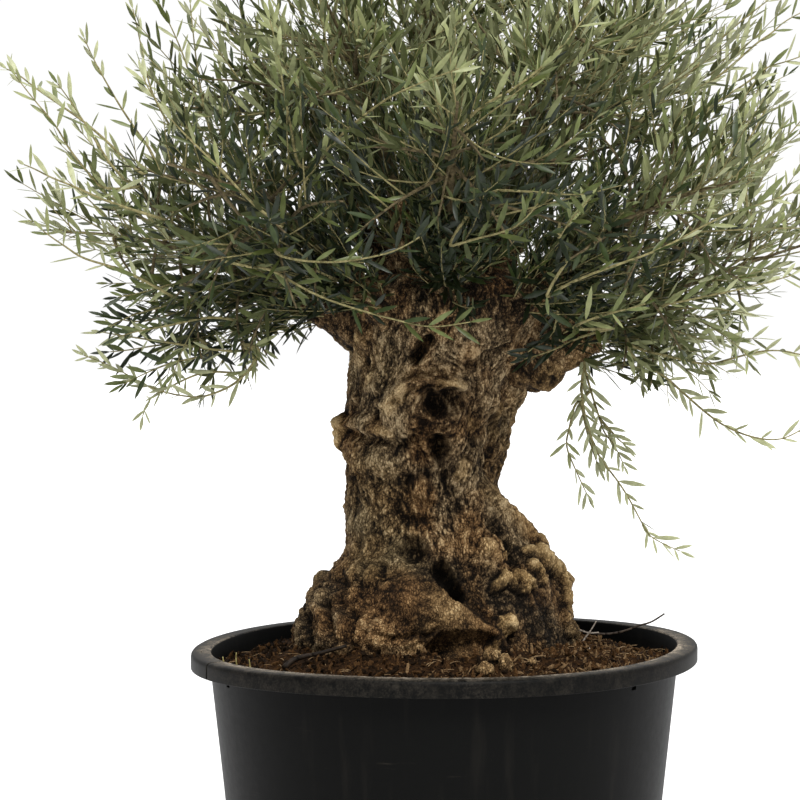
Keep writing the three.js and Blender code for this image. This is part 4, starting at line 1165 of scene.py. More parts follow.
def make_boughs(bark):
    """Limbs with bark along their length, swollen into a collar where they leave the trunk's head."""
    first, middle, last = bough_curves()
    share = np.linspace(0.12, 1, BOUGH_ROWS)
    turn = np.arange(BOUGH_COLUMNS) * 2 * math.pi / BOUGH_COLUMNS
    knobs = [(np.array([spot]), width, size) for spot, width, size in BOUGH_KNOBS]
    parts = []
    layers = {"relief": [], "warmth": [], "olive": [], "burl": []}
    for k in range(len(BOUGHS)):
        point, tangent = bezier(first[k], middle[k], last[k], share)
        level = across_of(tangent)
        rise = np.cross(tangent, level)
        along = share * LENGTHS[k]
        radius = HEART_RADII[k] * (1 - share) + TIP_RADII[k] * share
        radius = (radius * (1 + 0.35 * np.exp(-((along - 0.10) / 0.045) ** 2)))[:, None]
        around = level[:, None] * np.cos(turn)[:, None] + rise[:, None] * np.sin(turn)[:, None]
        flat = np.stack(np.broadcast_arrays(
            radius * np.cos(turn), radius * np.sin(turn), along[:, None]), axis=-1)
        offset, shade = bark_relief(flat + 0.37 * (k + 1), np.array([0, 0, 1.0]), 0, 0)
        burl = np.maximum(0, noise((flat + 0.5 * k) / 0.045, 71)) * 0.16
        rings = point[:, None] + around * (radius * (1 + burl) + offset)[..., None]
        swell = strongest(rings, knobs, 0.8)
        rings = rings + around * swell[..., None]
        parts.append(closed_grid(rings, point[0], point[-1] + tangent[-1] * 0.004))
        # Bough tone with painted light and shade: the bark's own, the collar's swellings painted lighter and
        # the whole a little darker as painted shade of the crown
        for name, layer, end in (
                ("relief", shade + 10 * swell - 0.08, 0.3),
                ("warmth", np.clip(0.4 + 0.5 * noise(rings / 0.07, 61), 0, 1), 0.3),
                ("olive", np.clip(0.5 * noise(rings / 0.08, 67), 0, 1), 0.0),
                ("burl", 0.5 * smooth(0.003, 0.008, swell), 0.0)):
            layers[name].append(np.append(layer, (end, end)))
    values = {name: np.concatenate(rows) for name, rows in layers.items()}
    values["calm"] = values["burl"]
    boughs = new_piece("bough_bark", *join(parts), [bark], values=values)
    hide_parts(*[f"bough_{name}" for name in BOUGHS])


# Foliage

def crown_reach(direction):
    """Distance from the heart to the crown's ellipsoid along a direction, by the quadratic formula."""
    start = (HEART - CROWN) / CROWN_REACH
    ray = direction / CROWN_REACH
    a = (ray * ray).sum(-1)
    b = ray @ start
    return (-b + np.sqrt(b * b - a * (start @ start - 1))) / a


def in_space(mass, point):
    """Whether each point is nearest to its mass's direction, high enough and inside the crown."""
    rest = point - HEART
    distance = np.linalg.norm(rest, axis=-1)
    elevation = np.degrees(np.arcsin(np.clip(rest[..., 2] / distance, -1, 1)))
    front = np.maximum(0, -rest[..., 1] / np.maximum(np.hypot(rest[..., 0], rest[..., 1]), 1e-9)) ** 1.5
    high_enough = elevation > LOWEST_SIDE + (LOWEST_FRONT - LOWEST_SIDE) * front - LOWEST_EASE
    inside = distance < CROWN_SLACK * crown_reach(rest / distance[..., None])
    gap = np.linalg.norm(DIRECTIONS[:, None] - DIRECTIONS[None], axis=-1) + np.eye(len(DIRECTIONS))
    pull = rest @ DIRECTIONS.T
    own = np.take_along_axis(pull, mass[:, None], axis=1)
    margin = (own - pull) / gap[mass]
    return high_enough & inside & (margin > -CELL_EASE).all(axis=1)


def grown_well(start, end):
    """Whether a shoot grows outward, hangs only if it starts low and keeps off the open space."""
    along = unit(end - start)
    outward = (along * unit(start - HEART)).sum(axis=-1) > 0.10
    hanging = (along[:, 2] < -0.30) & (start[:, 2] > 0.99)
    return outward & ~hanging & over_the_gap(end) & over_the_gap((start + end) / 2)


def gap_top(point):
    """Upper edge of the open space left of the trunk's neck, falling outward, and zero elsewhere."""
    x = point[:, 0]
    beside = (x > GAP_SIDES[0]) & (x < GAP_SIDES[1])
    return np.where(beside, np.clip(0.908 + 1.7 * (x + 0.19), *GAP_TOPS), 0)


def over_the_gap(point):
    """Whether each point is over the open space or away from it."""
    return point[:, 2] > gap_top(point)


def stem_curves():
    """A stem goes on from each bough's tip towards the crown's outline."""
    _, turn, tip = bough_curves()
    heading = unit(tip - turn)
    down = unit(np.array([0, 0, -1.0]) + heading * heading[:, 2:3])
    start = tip - heading * 0.004
    start[0] -= down[0] * SHARED_STEM["rise"]
    end = HEART + DIRECTIONS * (STEM_SHARE * crown_reach(DIRECTIONS))[:, None]
    length = np.linalg.norm(end - start, axis=1, keepdims=True)
    radius = TIP_RADII - 0.001
    radius[0] = SHARED_STEM["radius"]
    return start, start + heading * 0.5 * length, end, radius


def pairs_of(first, second):
    """Every pair of two whole numbers below the given ones, as two arrays."""
    return (grid.ravel() for grid in np.meshgrid(np.arange(first), np.arange(second), indexing="ij"))


def twig_curves(stems):
    """Twigs of every mass: their tips are an even spiral over the mass's part of the outline."""
    start, turn, end, _ = stems
    mass, k = pairs_of(len(BOUGHS), TWIG_TRIES)
    share = np.sqrt((k + 0.5) / TWIG_TRIES)
    tilt = TWIG_CONE * share
    angle = k * GOLDEN_ANGLE + mass
    direction = DIRECTIONS[mass]
    level = across_of(direction)
    rise = np.cross(direction, level)
    outward = (direction * np.cos(tilt)[:, None] + level * (np.sin(tilt) * np.cos(angle))[:, None]
               + rise * (np.sin(tilt) * np.sin(angle))[:, None])
    reach = crown_reach(outward) * (REACH_LEAST + REACH_SPREAD * chance(mass, k, 1))
    tip = HEART + outward * reach[:, None]
    tip[:, 2] = np.maximum(tip[:, 2], gap_top(tip) + 0.020)
    root, _ = bezier(start[mass], turn[mass], end[mass], TWIG_HIGH + (TWIG_LOW - TWIG_HIGH) * share)
    length = np.linalg.norm(tip - root, axis=1, keepdims=True)
    middle = (root + tip) / 2 + direction * TWIG_BULGE * length
    keep = in_space(mass, tip)
    return root[keep], middle[keep], tip[keep], mass[keep]


def chain_curves(chains, thick, thin):
    """Chains of points as quadratic curves, each from halfway before a point to halfway after it. With
    each curve come its radii and whether it ends its chain."""
    rows = []
    for chain in chains:
        spots = np.array(chain)
        halfway = ((spots[1:] + spots[:-1]) / 2)[1:-1]
        share = np.linspace(0, 1, len(spots) - 1)
        radius = thick + (thin - thick) * share
        first, last = np.concatenate([spots[:1], halfway]), np.concatenate([halfway, spots[-1:]])
        rows.append((first, spots[1:-1], last, radius[:-1], radius[1:], share[1:] == 1))
    return [np.concatenate(parts) for parts in zip(*rows)]


def rooted(chains, wood):
    """The chains, each with the nearest point of the wood put first, so that it grows from something."""
    rows = []
    for chain in chains:
        spots = np.array(chain)
        nearest = wood[np.argmin(np.linalg.norm(wood - spots[0], axis=1))]
        rows.append(np.concatenate([nearest[None], spots]))
    return rows


def shoot_limit(ray, luck):
    """How far from the heart shoots may reach: the crown's outline, ragged by chance and noise, fuller at
    one upper corner and thinner at the other."""
    ragged = 0.31 * luck ** 1.4 + 0.06 * noise(ray * 3.2, 17)
    corner = smooth(0.84, 0.98, ray @ unit(np.array(FULL_CORNER)))
    thin = smooth(0.80, 0.97, ray @ unit(np.array(THIN_CORNER)))
    return (0.72 + ragged + 0.13 * corner - 0.08 * thin) * crown_reach(ray)


def shoot_curves(root, middle, tip, mass, per_twig, lengths, first_share, seed, lift=0.80):
    """Shoots along every twig, turned round it by the golden angle. Those at its base are short and stand
    wide, those at its end are long and fan out ahead, and the last goes on from it."""
    twig, j = pairs_of(len(root), per_twig)
    share = first_share + (0.99 - first_share) * (j + chance(twig, j, seed)) / per_twig
    start, tangent = bezier(root[twig], middle[twig], tip[twig], share)
    level = across_of(tangent)
    rise = np.cross(tangent, level)
    angle = j * GOLDEN_ANGLE + CROWN_TURN * chance(twig, 5, seed)
    wide, narrow = SHOOT_SPREADS
    spread = (wide + (narrow - wide) * share) * (0.6 + 0.8 * chance(twig, j, seed + 1))
    spread = np.where(j == per_twig - 1, 0.4 * spread, spread)
    side = level * np.cos(angle)[:, None] + rise * np.sin(angle)[:, None]
    heading = tangent * np.cos(spread)[:, None] + side * np.sin(spread)[:, None]
    outward = unit(start - HEART)
    high = smooth(0.94, 1.14, start[:, 2])[:, None]
    up = np.array([0, 0, 1.0])
    heading = unit(heading + 0.28 * outward + up * (lift * high - 0.10 * (1 - high)))
    size = (lengths[0] + (lengths[1] - lengths[0]) * share) * (0.65 + 0.7 * chance(twig, j, seed + 2))
    end = start + heading * size[:, None]
    ray = end - HEART
    distance = np.linalg.norm(ray, axis=1)
    ray = ray / distance[:, None]
    end = HEART + ray * np.minimum(distance, shoot_limit(ray, chance(twig, j, seed + 3)))[:, None]
    size = np.linalg.norm(end - start, axis=1)[:, None]
    bend = (start + end) / 2 + (0.09 * side - 0.03 * outward + up * (0.03 - 0.09 * high)) * size
    return start, bend, end, mass[twig]


def leaf_rows(first, middle, last, start_share, spacing):
    """Even pairs of leaves along every shoot: the shoot, the place along it and the pair's number."""
    length = np.linalg.norm(middle - first, axis=1) + np.linalg.norm(last - middle, axis=1)
    pairs = np.maximum(1, (length * (1 - start_share) / spacing).astype(int))
    shoot = np.repeat(np.arange(len(first)), pairs)
    number = np.arange(len(shoot)) - np.repeat(np.cumsum(pairs) - pairs, pairs)
    share = start_share + (1 - start_share) * ((number + 0.6) / pairs[shoot]) ** 0.85
    return shoot, np.minimum(share, 0.99), number


def leaf_frames(first, middle, last, start_share, spacing, size, seed, tips=None, frontal=0):
    """Places, directions and sizes of leaves: opposite pairs, each a quarter turn on from the last, and
    one at the tip. High in the crown they all reach up a little."""
    shoot, share, number = leaf_rows(first, middle, last, start_share, spacing)
    shoot, share, number = (np.repeat(row, 2) for row in (shoot, share, number))
    hand = np.tile([0.0, math.pi], len(shoot) // 2)
    ends = np.arange(len(first)) if tips is None else np.flatnonzero(tips)
    shoot = np.concatenate([shoot, ends])
    share = np.concatenate([share, np.full(len(ends), 0.995)])
    number = np.concatenate([number, np.full(len(ends), TIP_LEAF)])
    hand = np.concatenate([hand, np.zeros(len(ends))])
    point, tangent = bezier(first[shoot], middle[shoot], last[shoot], share)
    level = across_of(tangent)
    rise = np.cross(tangent, level)
    luck = [chance(shoot, number + 31 * (hand > 1), seed + k) - 0.5 for k in range(6)]
    turn = number * math.pi / 2 + hand + 0.9 * luck[0] + CROWN_TURN * chance(shoot, 3, seed)
    side = level * np.cos(turn)[:, None] + rise * np.sin(turn)[:, None]
    lean = np.radians(48 - 16 * share + 26 * luck[1])
    lean = np.where(number == TIP_LEAF, np.radians(6), lean)
    up, back = np.array([0, 0, 1.0]), np.array([0, 1.0, 0])
    reaching = 0.22 * (up * smooth(0.90, 1.12, point[:, 2])[:, None])
    heading = unit(tangent * np.cos(lean)[:, None] + side * np.sin(lean)[:, None] + reaching)
    tilt = np.stack(luck[2:5], axis=-1)
    facing = unit(tangent + 0.45 * up + 0.9 * tilt + 0.02 - frontal * back)
    length = size * (0.72 + 0.56 * (luck[5] + 0.5)) * (1 - 0.40 * share ** 3)
    return shoot, point, heading, facing, length


LEAF_ALONG = np.array([0, 0.2, 0.5, 0.8, 1, 0.2, 0.5, 0.8, 0.2, 0.5, 0.8])
LEAF_ACROSS = np.array([0, 0, 0, 0, 0, 0.68, 1, 0.66, -0.68, -1, -0.66])
LEAF_HIGH = np.array([0, 1, 1, 0.8, 0, 0, 0, 0, 0, 0, 0])
LEAF_TRIANGLES = np.array([(0, 1, 5), (0, 8, 1), (3, 4, 7), (3, 10, 4), (0, 5, 8), (7, 4, 10)])
LEAF_QUADS = np.array([
    (1, 2, 6, 5), (2, 3, 7, 6), (8, 9, 2, 1), (9, 10, 3, 2), (5, 6, 9, 8), (6, 7, 10, 9),
])
UNDERSIDE = np.array([0, 0, 0, 0, 1, 1])


def leaf_blades(point, heading, facing, length):
    """Closed lance-shaped leaves: flat below, raised along the midrib above, slightly curved back."""
    sideways = unit(np.cross(facing, heading))
    upward = np.cross(heading, sideways)
    width = LEAF_WIDTH / 2 * (length / LEAF_LENGTH) ** 0.7
    curl = 0.10 * length * (chance(np.arange(len(length)), 7, 3) - 0.25)
    points = (point[:, None] + heading[:, None] * (LEAF_ALONG * length[:, None])[..., None]
              + sideways[:, None] * (LEAF_ACROSS * width[:, None])[..., None]
              + upward[:, None] * (LEAF_HIGH * LEAF_RIDGE - LEAF_ALONG ** 2 * curl[:, None])[..., None])
    start = (np.arange(len(point)) * len(LEAF_ALONG))[:, None, None]
    triangles, quads = (LEAF_TRIANGLES + start).reshape(-1, 3), (LEAF_QUADS + start).reshape(-1, 4)
    return points.reshape(-1, 3), [triangles, quads]


def shoot_tones(middle, seed):
    """How light the leaves of each shoot are, from 0 up: by chance, and painted light towards the crown's
    sides, top and low fringe, where light comes through, with painted shade within the crown."""
    x, _, z = middle.T
    aside = np.abs(x)
    sides = np.where(x > 0, smooth(0.07, 0.43, aside), smooth(0.20, 0.50, aside))
    top = smooth(1.08, 1.30, z)
    fringe = smooth(0.98, 0.88, z) * smooth(0.20, 0.34, aside)
    light = 1 - (1 - sides) * (1 - 0.9 * top) * (1 - fringe)
    shaded_within = (1 - smooth(1.04, 1.22, z)) * (1 - smooth(0.15, 0.34, aside))
    lit = 0.10 * smooth(1.14, 1.30, z) + 0.24 * smooth(1.02, 0.94, z) * smooth(0.20, 0.30, x)
    return 0.74 * chance(np.arange(len(middle)), 2, seed) ** 1.4 + 0.64 * light + lit - 0.15 * shaded_within - 0.03


def collar_shoots(limbs):
    """Low shoots on the boughs at the sides and the front, which hide the trunk's head."""
    low = np.array([list(BOUGHS).index(name) for name in COLLAR_BOUGHS])
    parts = [part[low] for part in limbs]
    shoots = shoot_curves(*parts, low, COLLAR_SHOOTS, (0.13, 0.19), 0.50, 23, -0.10)
    _, bend, end, _ = shoots
    clear = np.hypot(bend[:, 0], bend[:, 1]) > COLLAR_CLEARANCE
    clear &= (end[:, 2] > COLLAR_LOWEST) & (end[:, 1] < COLLAR_BACK) & over_the_gap(end)
    return [part[clear] for part in shoots]


def chance_shoots(stems, twigs, limbs):
    """Shoots along the twigs, the stems and the outer half of the boughs, in the space of their mass."""
    masses = np.arange(len(BOUGHS))
    groups = (
        shoot_curves(*twigs, SHOOTS_PER_TWIG, SHOOT_LENGTHS, 0.10, 1),
        shoot_curves(*stems[:3], masses, LIMB_SHOOTS, (0.12, 0.17), 0.02, 5),
        shoot_curves(*limbs, masses, LIMB_SHOOTS, (0.12, 0.16), 0.52, 13),
    )
    start, bend, end, mass = (np.concatenate(parts) for parts in zip(*groups))
    keep = in_space(mass, end) & grown_well(start, end)
    return [part[keep] for part in (start, bend, end, mass)]


def crown_curves():
    """Curves of the whole crown by kind: first, middle and last points, then the radius of a stem, the
    mass of a twig or shoot, or both radii and the ends of long shoots."""
    stems, limbs = stem_curves(), bough_curves()
    twigs = twig_curves(stems)
    shoots, collar = chance_shoots(stems, twigs, limbs), collar_shoots(limbs)
    curves = {"stems": stems, "twigs": twigs, "shoots": shoots, "collar": collar}
    share = np.linspace(0, 1, 12)
    wood = np.concatenate([bezier(*(part[:, None] for part in group[:3]), share)[0].reshape(-1, 3)
                           for group in (stems, twigs)])
    for name, (thick, thin, chains) in LONG_SHOOTS.items():
        grown = chains if name == "hanging" else rooted(chains, wood)
        curves[name] = chain_curves(grown, thick, thin)
    return curves


def make_twigs(curves):
    """Stems and twigs in grey bark, and shoots in young bark."""
    grey = twig_paint("twig_bark", (0.046, 0.035, 0.017), (0.150, 0.118, 0.060), 160)
    young = twig_paint("young_bark", (0.130, 0.115, 0.046), (0.290, 0.255, 0.120), 220)
    woody = join([
        tubes(*curves["stems"], STEM_TIP_RADIUS, 9, 14, 2.2),
        tubes(*curves["twigs"][:3], TWIG_RADIUS, TWIG_TIP_RADIUS, 6, 8),
    ])
    green = join([
        *[tubes(*curves[name][:3], SHOOT_RADIUS, SHOOT_TIP_RADIUS, 4, 5) for name in ("shoots", "collar")],
        *[tubes(*curves[name][:5], 6, 5) for name in LONG_SHOOTS],
    ])
    for piece in (new_piece("twigs", *woody, [grey]), new_piece("shoots", *green, [young])):
        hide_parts(*FOLIAGE_NODES)


def leaf_places(curves):
    """Every leaf's tint, place, direction, facing and length. The tint is by the tone of its shoot, painted
    light and shade included, with a chance of its own, and no leaf over the crown's face is among the palest."""
    rows = []
    starts = [start for _, start, *_ in LEAF_TINTS[1:]]
    for name, (bare, spacing, size, seed, lighter, frontal) in LEAF_ROWS.items():
        group = curves[name]
        ends = group[5] if name in LONG_SHOOTS else None
        shoot, *frames = leaf_frames(*group[:3], bare, spacing, size, seed, ends, frontal)
        point, heading, _, length = frames
        tips = point + heading * length[:, None]
        inside = np.ones(len(shoot), bool)
        if name in ("shoots", "twigs"):
            inside &= in_space(group[3][shoot], tips)
        if name not in LONG_SHOOTS:
            inside &= over_the_gap(tips)
        tone = (shoot_tones((group[0] + group[2]) / 2, seed) + lighter)[shoot]
        tone += LEAF_VARIATION * (chance(np.arange(len(shoot)), 9, seed) - 0.5)
        if name != "hanging":
            tone = np.where(np.abs(point[:, 0]) < FACE_HALF, np.minimum(tone, FACE_TONE), tone)
        rows.append([part[inside] for part in (np.digitize(tone, starts), *frames)])
    return [np.concatenate(parts) for parts in zip(*rows)]


def make_leaves(curves):
    """The leaves, in pieces of one tint, each with paint for its upper side and its underside."""
    tint, *frames = leaf_places(curves)
    unders = [leaf_paint(f"leaf_underside_{k}", colour, 0.62, 0.12) for k, colour in enumerate(UNDER_TINTS)]
    for k, (name, _, under, colour) in enumerate(LEAF_TINTS):
        paints = [leaf_paint(f"leaf_{name}", colour, 0.32, 0.30), unders[under]]
        chosen = np.flatnonzero(tint == k)
        for number, some in enumerate(np.array_split(chosen, len(chosen) // PIECE_LEAVES + 1)):
            blades = leaf_blades(*(part[some] for part in frames))
            sides = np.tile(UNDERSIDE, 2 * len(some))
            leaves = new_piece(f"leaves_{name}_{number}", *blades, paints, sides)
            leaves.data.set_sharp_from_angle(angle=math.radians(60))
            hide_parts(*FOLIAGE_NODES)


def make_foliage():
    """Stems, twigs, shoots and leaves of the whole crown."""
    curves = crown_curves()
    make_twigs(curves)
    make_leaves(curves)


# Tub and soil

def wall_radius(height):
    """Outer radius of the tub, which grows evenly from its base to its top."""
    return TUB_BASE_RADIUS + (TUB_TOP_RADIUS - TUB_BASE_RADIUS) * height / TUB_HEIGHT


def rounded(corners, radii, steps=5):
    """A profile with rounded corners: each is a quadratic curve between points set back from it."""
    rows = [corners[:1]]
    for before, corner, after, radius in zip(corners[:-2], corners[1:-1], corners[2:], radii[1:-1]):
        back = unit(before - corner) * min(radius, 0.48 * np.linalg.norm(before - corner))
        on = unit(after - corner) * min(radius, 0.48 * np.linalg.norm(after - corner))
        rows.append(bezier(corner + back, corner, corner + on, np.linspace(0, 1, steps))[0])
    return np.concatenate([*rows, corners[-1:]])


def tub_profile():
    """Radius and height along the tub's section: out under its floor, up its wall, over the lip and down
    inside. Each row gives a corner and how far it is rounded."""
    lip_under, skirt_foot = TUB_HEIGHT - TUB_WALL, TUB_HEIGHT - RIM_DROP
    slot_edges = [SLOT_HEIGHT + side * (SLOT_HALF + ease)
                  for side, ease in ((-1, SLOT_EASE), (-1, -SLOT_EASE), (1, -SLOT_EASE), (1, SLOT_EASE))]
    rows = np.array([
        (TUB_HUB, 0, 0),
        (TUB_BASE_RADIUS, 0, 0.006),
        *[(wall_radius(z), z, 0) for z in (*np.linspace(0.03, 0.45, 13), *slot_edges)],
        (TUB_TOP_RADIUS, lip_under, 0.002),
        (RIM_RADIUS - TUB_WALL, lip_under, 0.001),
        (RIM_RADIUS - TUB_WALL, skirt_foot, 0.001),
        (RIM_RADIUS, skirt_foot, 0.0015),
        (RIM_RADIUS, TUB_HEIGHT, 0.007),
        (LIP_INSIDE, TUB_HEIGHT, 0.003),
        (wall_radius(TUB_HEIGHT) - TUB_WALL, lip_under, 0.003),
        *[(wall_radius(z) - TUB_WALL, z, 0) for z in np.linspace(0.485, 0.40, 4)],
        (wall_radius(TUB_FLOOR) - TUB_WALL, TUB_FLOOR, 0.004),
        (TUB_HUB, TUB_FLOOR, 0),
    ])
    return rounded(rows[:, :2], np.maximum(rows[:, 2], LEAST_ROUNDING))


def make_tub():
    """The tub: its profile turned about the axis, very slightly out of true at the rim, with a joint in
    the lip and slots in the wall. Columns are even, with more at the edges of the joint and the slots."""
    profile = tub_profile()
    across, level = profile[:, :1], profile[:, 1:]
    joint, slots = math.radians(RIM_JOINT), np.radians(WALL_SLOTS)
    even = np.arange(TUB_COLUMNS) * 2 * math.pi / TUB_COLUMNS
    edges = [joint + np.radians(JOINT_COLUMNS), *[slot + np.radians(SLOT_COLUMNS) for slot in slots]]
    turn = np.sort(np.concatenate([even, *edges]))
    high = smooth(0.30, 0.50, level)
    wobble = 1 + 0.0022 * high * np.sin(2 * turn + 0.7) + 0.0012 * high * np.sin(5 * turn + 2)
    dip = 0.0016 * high * np.sin(3 * turn + 1.1) + RIM_SLOPE * high * across * np.cos(turn)
    slit = 1 - smooth(math.radians(0.22), math.radians(0.40), np.abs(turn - joint))
    on_lip = (across > RIM_RADIUS - TUB_WALL / 2) & (level > TUB_HEIGHT - RIM_DROP - 0.001)
    on_top = (across > LIP_INSIDE - 0.001) & (level > TUB_HEIGHT - 0.0012)
    # Dust and painted sheen on the rim's top, most towards its inner edge and less at the front and the back
    worn = 0.10 * np.clip(-np.sin(turn), 0, 1) ** 2 + 0.85 * smooth(0.10, 0.60, np.sin(turn))
    towards = 1 - 0.85 * smooth(LIP_INSIDE + 0.004, RIM_RADIUS - 0.006, across)
    dusty = np.broadcast_to(np.maximum(on_top * towards * (1 - worn), 0.030 * on_lip), wobble.shape)
    in_slot = np.abs(turn[:, None] - slots).min(axis=1) < math.radians(0.80)
    slot_rows = (np.abs(level - SLOT_HEIGHT) < SLOT_HALF) & (across > wall_radius(SLOT_HEIGHT) - 0.002)
    radius = across * wobble - JOINT_DEPTH * slit * on_lip - SLOT_DEPTH * (slot_rows & in_slot)
    height = level + dip + 0.0010 * high - 0.0030 * slit * on_top
    rings = np.stack([radius * np.cos(turn), radius * np.sin(turn), height], axis=-1)
    points, faces = closed_grid(rings, np.zeros(3), np.array([0, 0, TUB_FLOOR]))
    tub = new_piece("tub_shell", points, faces, [tub_paint()], values={"dusty": np.append(dusty, (0, 0))})
    tub.data.set_sharp_from_angle(angle=math.radians(50))
    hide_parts("tub")


def soil_height(x, y):
    """Top of the soil: level under the trunk, heaped against its front, falling to an edge that is higher
    in front, with clods all over."""
    radius = np.hypot(x, y)
    edge = SOIL_EDGE + 0.012 * x - (SOIL_EDGE_TILT + 0.001) * y / np.maximum(radius, 1e-6)
    share = smooth(SOIL_LEVEL_RADIUS - 0.03, wall_radius(GROUND) - TUB_WALL, radius)
    flat = np.stack([x, y, np.zeros_like(x)], axis=-1)
    clods = 0.0045 * layered(flat / 0.028, 3, 81) + 0.0022 * noise(flat / 0.007, 85)
    front = np.clip(-y / np.maximum(radius, 1e-6), 0, 1)
    mound = 0.020 * front ** 0.8 * (1 - smooth(0.190, 0.300, radius))
    mound *= 1 - 0.60 * np.exp(-((x - 0.012) / 0.050) ** 2) * front
    return GROUND + 0.002 + mound + (edge - GROUND) * share + clods * smooth(0.12, 0.17, radius)


def soil_radius(height):
    """Radius of the soil's side, just inside the tub's wall."""
    return wall_radius(height) - TUB_WALL - SOIL_GAP - SOIL_EASE


def make_soil():
    """The plug of soil: a clodded top, sides just inside the tub and a flat underside."""
    underside = TUB_FLOOR + SOIL_GAP
    turn = np.arange(SOIL_COLUMNS) * 2 * math.pi / SOIL_COLUMNS
    radius = np.linspace(soil_radius(GROUND), 0.10, SOIL_ROWS)[:, None]
    x, y = radius * np.cos(turn), radius * np.sin(turn)
    top = np.stack([x, y, soil_height(x, y)], axis=-1)
    height = np.array([(underside,), (0.25,), (0.45,)])
    inside = soil_radius(height)
    side = np.stack(np.broadcast_arrays(inside * np.cos(turn), inside * np.sin(turn), height), axis=-1)
    rings = np.concatenate([side, top])
    points, faces = closed_grid(rings, np.array([0, 0, underside]), np.array([0, 0, GROUND]))
    paint = soil_paint("soil", (0.0036, 0.0019, 0.0009), (0.043, 0.0205, 0.0076), 240)
    soil = new_piece("soil_bed", points, faces, [paint])
    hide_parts("soil")


def spin(count, seed):
    """A turn matrix for each of many pieces, from a random quaternion."""
    k = np.arange(count)
    w, x, y, z = unit(np.stack([chance(k, part, seed) - 0.5 for part in range(4)], axis=-1)).T
    return np.stack([
        np.stack([1 - 2 * (y * y + z * z), 2 * (x * y - w * z), 2 * (x * z + w * y)], axis=-1),
        np.stack([2 * (x * y + w * z), 1 - 2 * (x * x + z * z), 2 * (y * z - w * x)], axis=-1),
        np.stack([2 * (x * z - w * y), 2 * (y * z + w * x), 1 - 2 * (x * x + y * y)], axis=-1)], axis=-2)


GOLDEN = (1 + math.sqrt(5)) / 2
CRUMB_CORNERS = np.array([
    (-1, GOLDEN, 0), (1, GOLDEN, 0), (-1, -GOLDEN, 0), (1, -GOLDEN, 0), (0, -1, GOLDEN), (0, 1, GOLDEN),
    (0, -1, -GOLDEN), (0, 1, -GOLDEN), (GOLDEN, 0, -1), (GOLDEN, 0, 1), (-GOLDEN, 0, -1), (-GOLDEN, 0, 1),
]) / math.sqrt(1 + GOLDEN ** 2)
CRUMB_FACES = np.array([
    (0, 11, 5), (0, 5, 1), (0, 1, 7), (0, 7, 10), (0, 10, 11), (1, 5, 9), (5, 11, 4), (11, 10, 2),
    (10, 7, 6), (7, 1, 8), (3, 9, 4), (3, 4, 2), (3, 2, 6), (3, 6, 8), (3, 8, 9), (4, 9, 5),
    (2, 4, 11), (6, 2, 10), (8, 6, 7), (9, 8, 1),
])


def crumbs(place, size, seed):
    """Crumbs of soil: twenty-sided solids, stretched, dented and turned at random."""
    count = len(place)
    k = np.arange(count)
    dent = 0.72 + 0.5 * chance(k[:, None], np.arange(len(CRUMB_CORNERS)), seed)
    stretch = np.stack([0.8 + 2.4 * chance(k, 21, seed) ** 2, 0.40 + 0.4 * chance(k, 22, seed),
                        0.30 + 0.4 * chance(k, 23, seed)], axis=-1)
    local = CRUMB_CORNERS * dent[..., None] * stretch[:, None] * size[:, None, None]
    points = place[:, None] + np.einsum("nij,nvj->nvi", spin(count, seed + 1), local)
    faces = CRUMB_FACES + (k * len(CRUMB_CORNERS))[:, None, None]
    return points.reshape(-1, 3), [faces.reshape(-1, 3)]


def scattered(k, ring, seed):
    """Chance places, as x and y, spread evenly over a flat ring."""
    turn = LITTER_TURN * chance(k, 1, seed)
    radius = np.sqrt(ring[0] ** 2 + (ring[1] ** 2 - ring[0] ** 2) * chance(k, 2, seed))
    return radius * np.cos(turn), radius * np.sin(turn)


def soil_piece(name, shape, paint, smooth_shaded=True):
    """A piece that lies loose on the soil."""
    piece = new_piece(name, *shape, [paint], smooth_shaded=smooth_shaded)
    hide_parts("soil")


def make_crumbs():
    """Crumbs all over the soil, lighter to the right, and a few on the rim."""
    k, rim = np.arange(CRUMBS), np.arange(RIM_CRUMBS)
    x, y = scattered(k, CRUMB_RING, CRUMB_SEED)
    large = 0.0012 + 0.0040 * chance(k, 3, CRUMB_SEED) ** 3
    on_soil = np.stack([x, y, soil_height(x, y) + 0.35 * large], axis=-1)
    front, anywhere = 298 + 34 * chance(rim, 4, CRUMB_SEED), 360 * chance(rim, 5, CRUMB_SEED)
    around = np.radians(np.where(rim % 2 == 0, front, anywhere))
    out = LIP_INSIDE + 0.004 + 0.019 * chance(rim, 6, CRUMB_SEED)
    small = 0.0007 + 0.0013 * chance(rim, 7, CRUMB_SEED) ** 2
    on_rim = np.stack([out * np.cos(around), out * np.sin(around), TUB_HEIGHT + 0.3 * small], axis=-1)
    place, size = np.concatenate([on_soil, on_rim]), np.concatenate([large, small])
    bright = chance(np.arange(len(size)), 8, CRUMB_SEED) + 0.42 * smooth(-0.16, 0.18, place[:, 0]) - 0.15
    kind = np.digitize(bright, [start for _, start, *_ in CRUMB_TINTS[1:]])
    for number, (name, _, dark, light) in enumerate(CRUMB_TINTS):
        shape = crumbs(place[kind == number], size[kind == number], CRUMB_SEED + 10 + number)
        soil_piece(f"crumbs_{name}", shape, soil_paint(f"crumb_{name}", dark, light, 380), False)


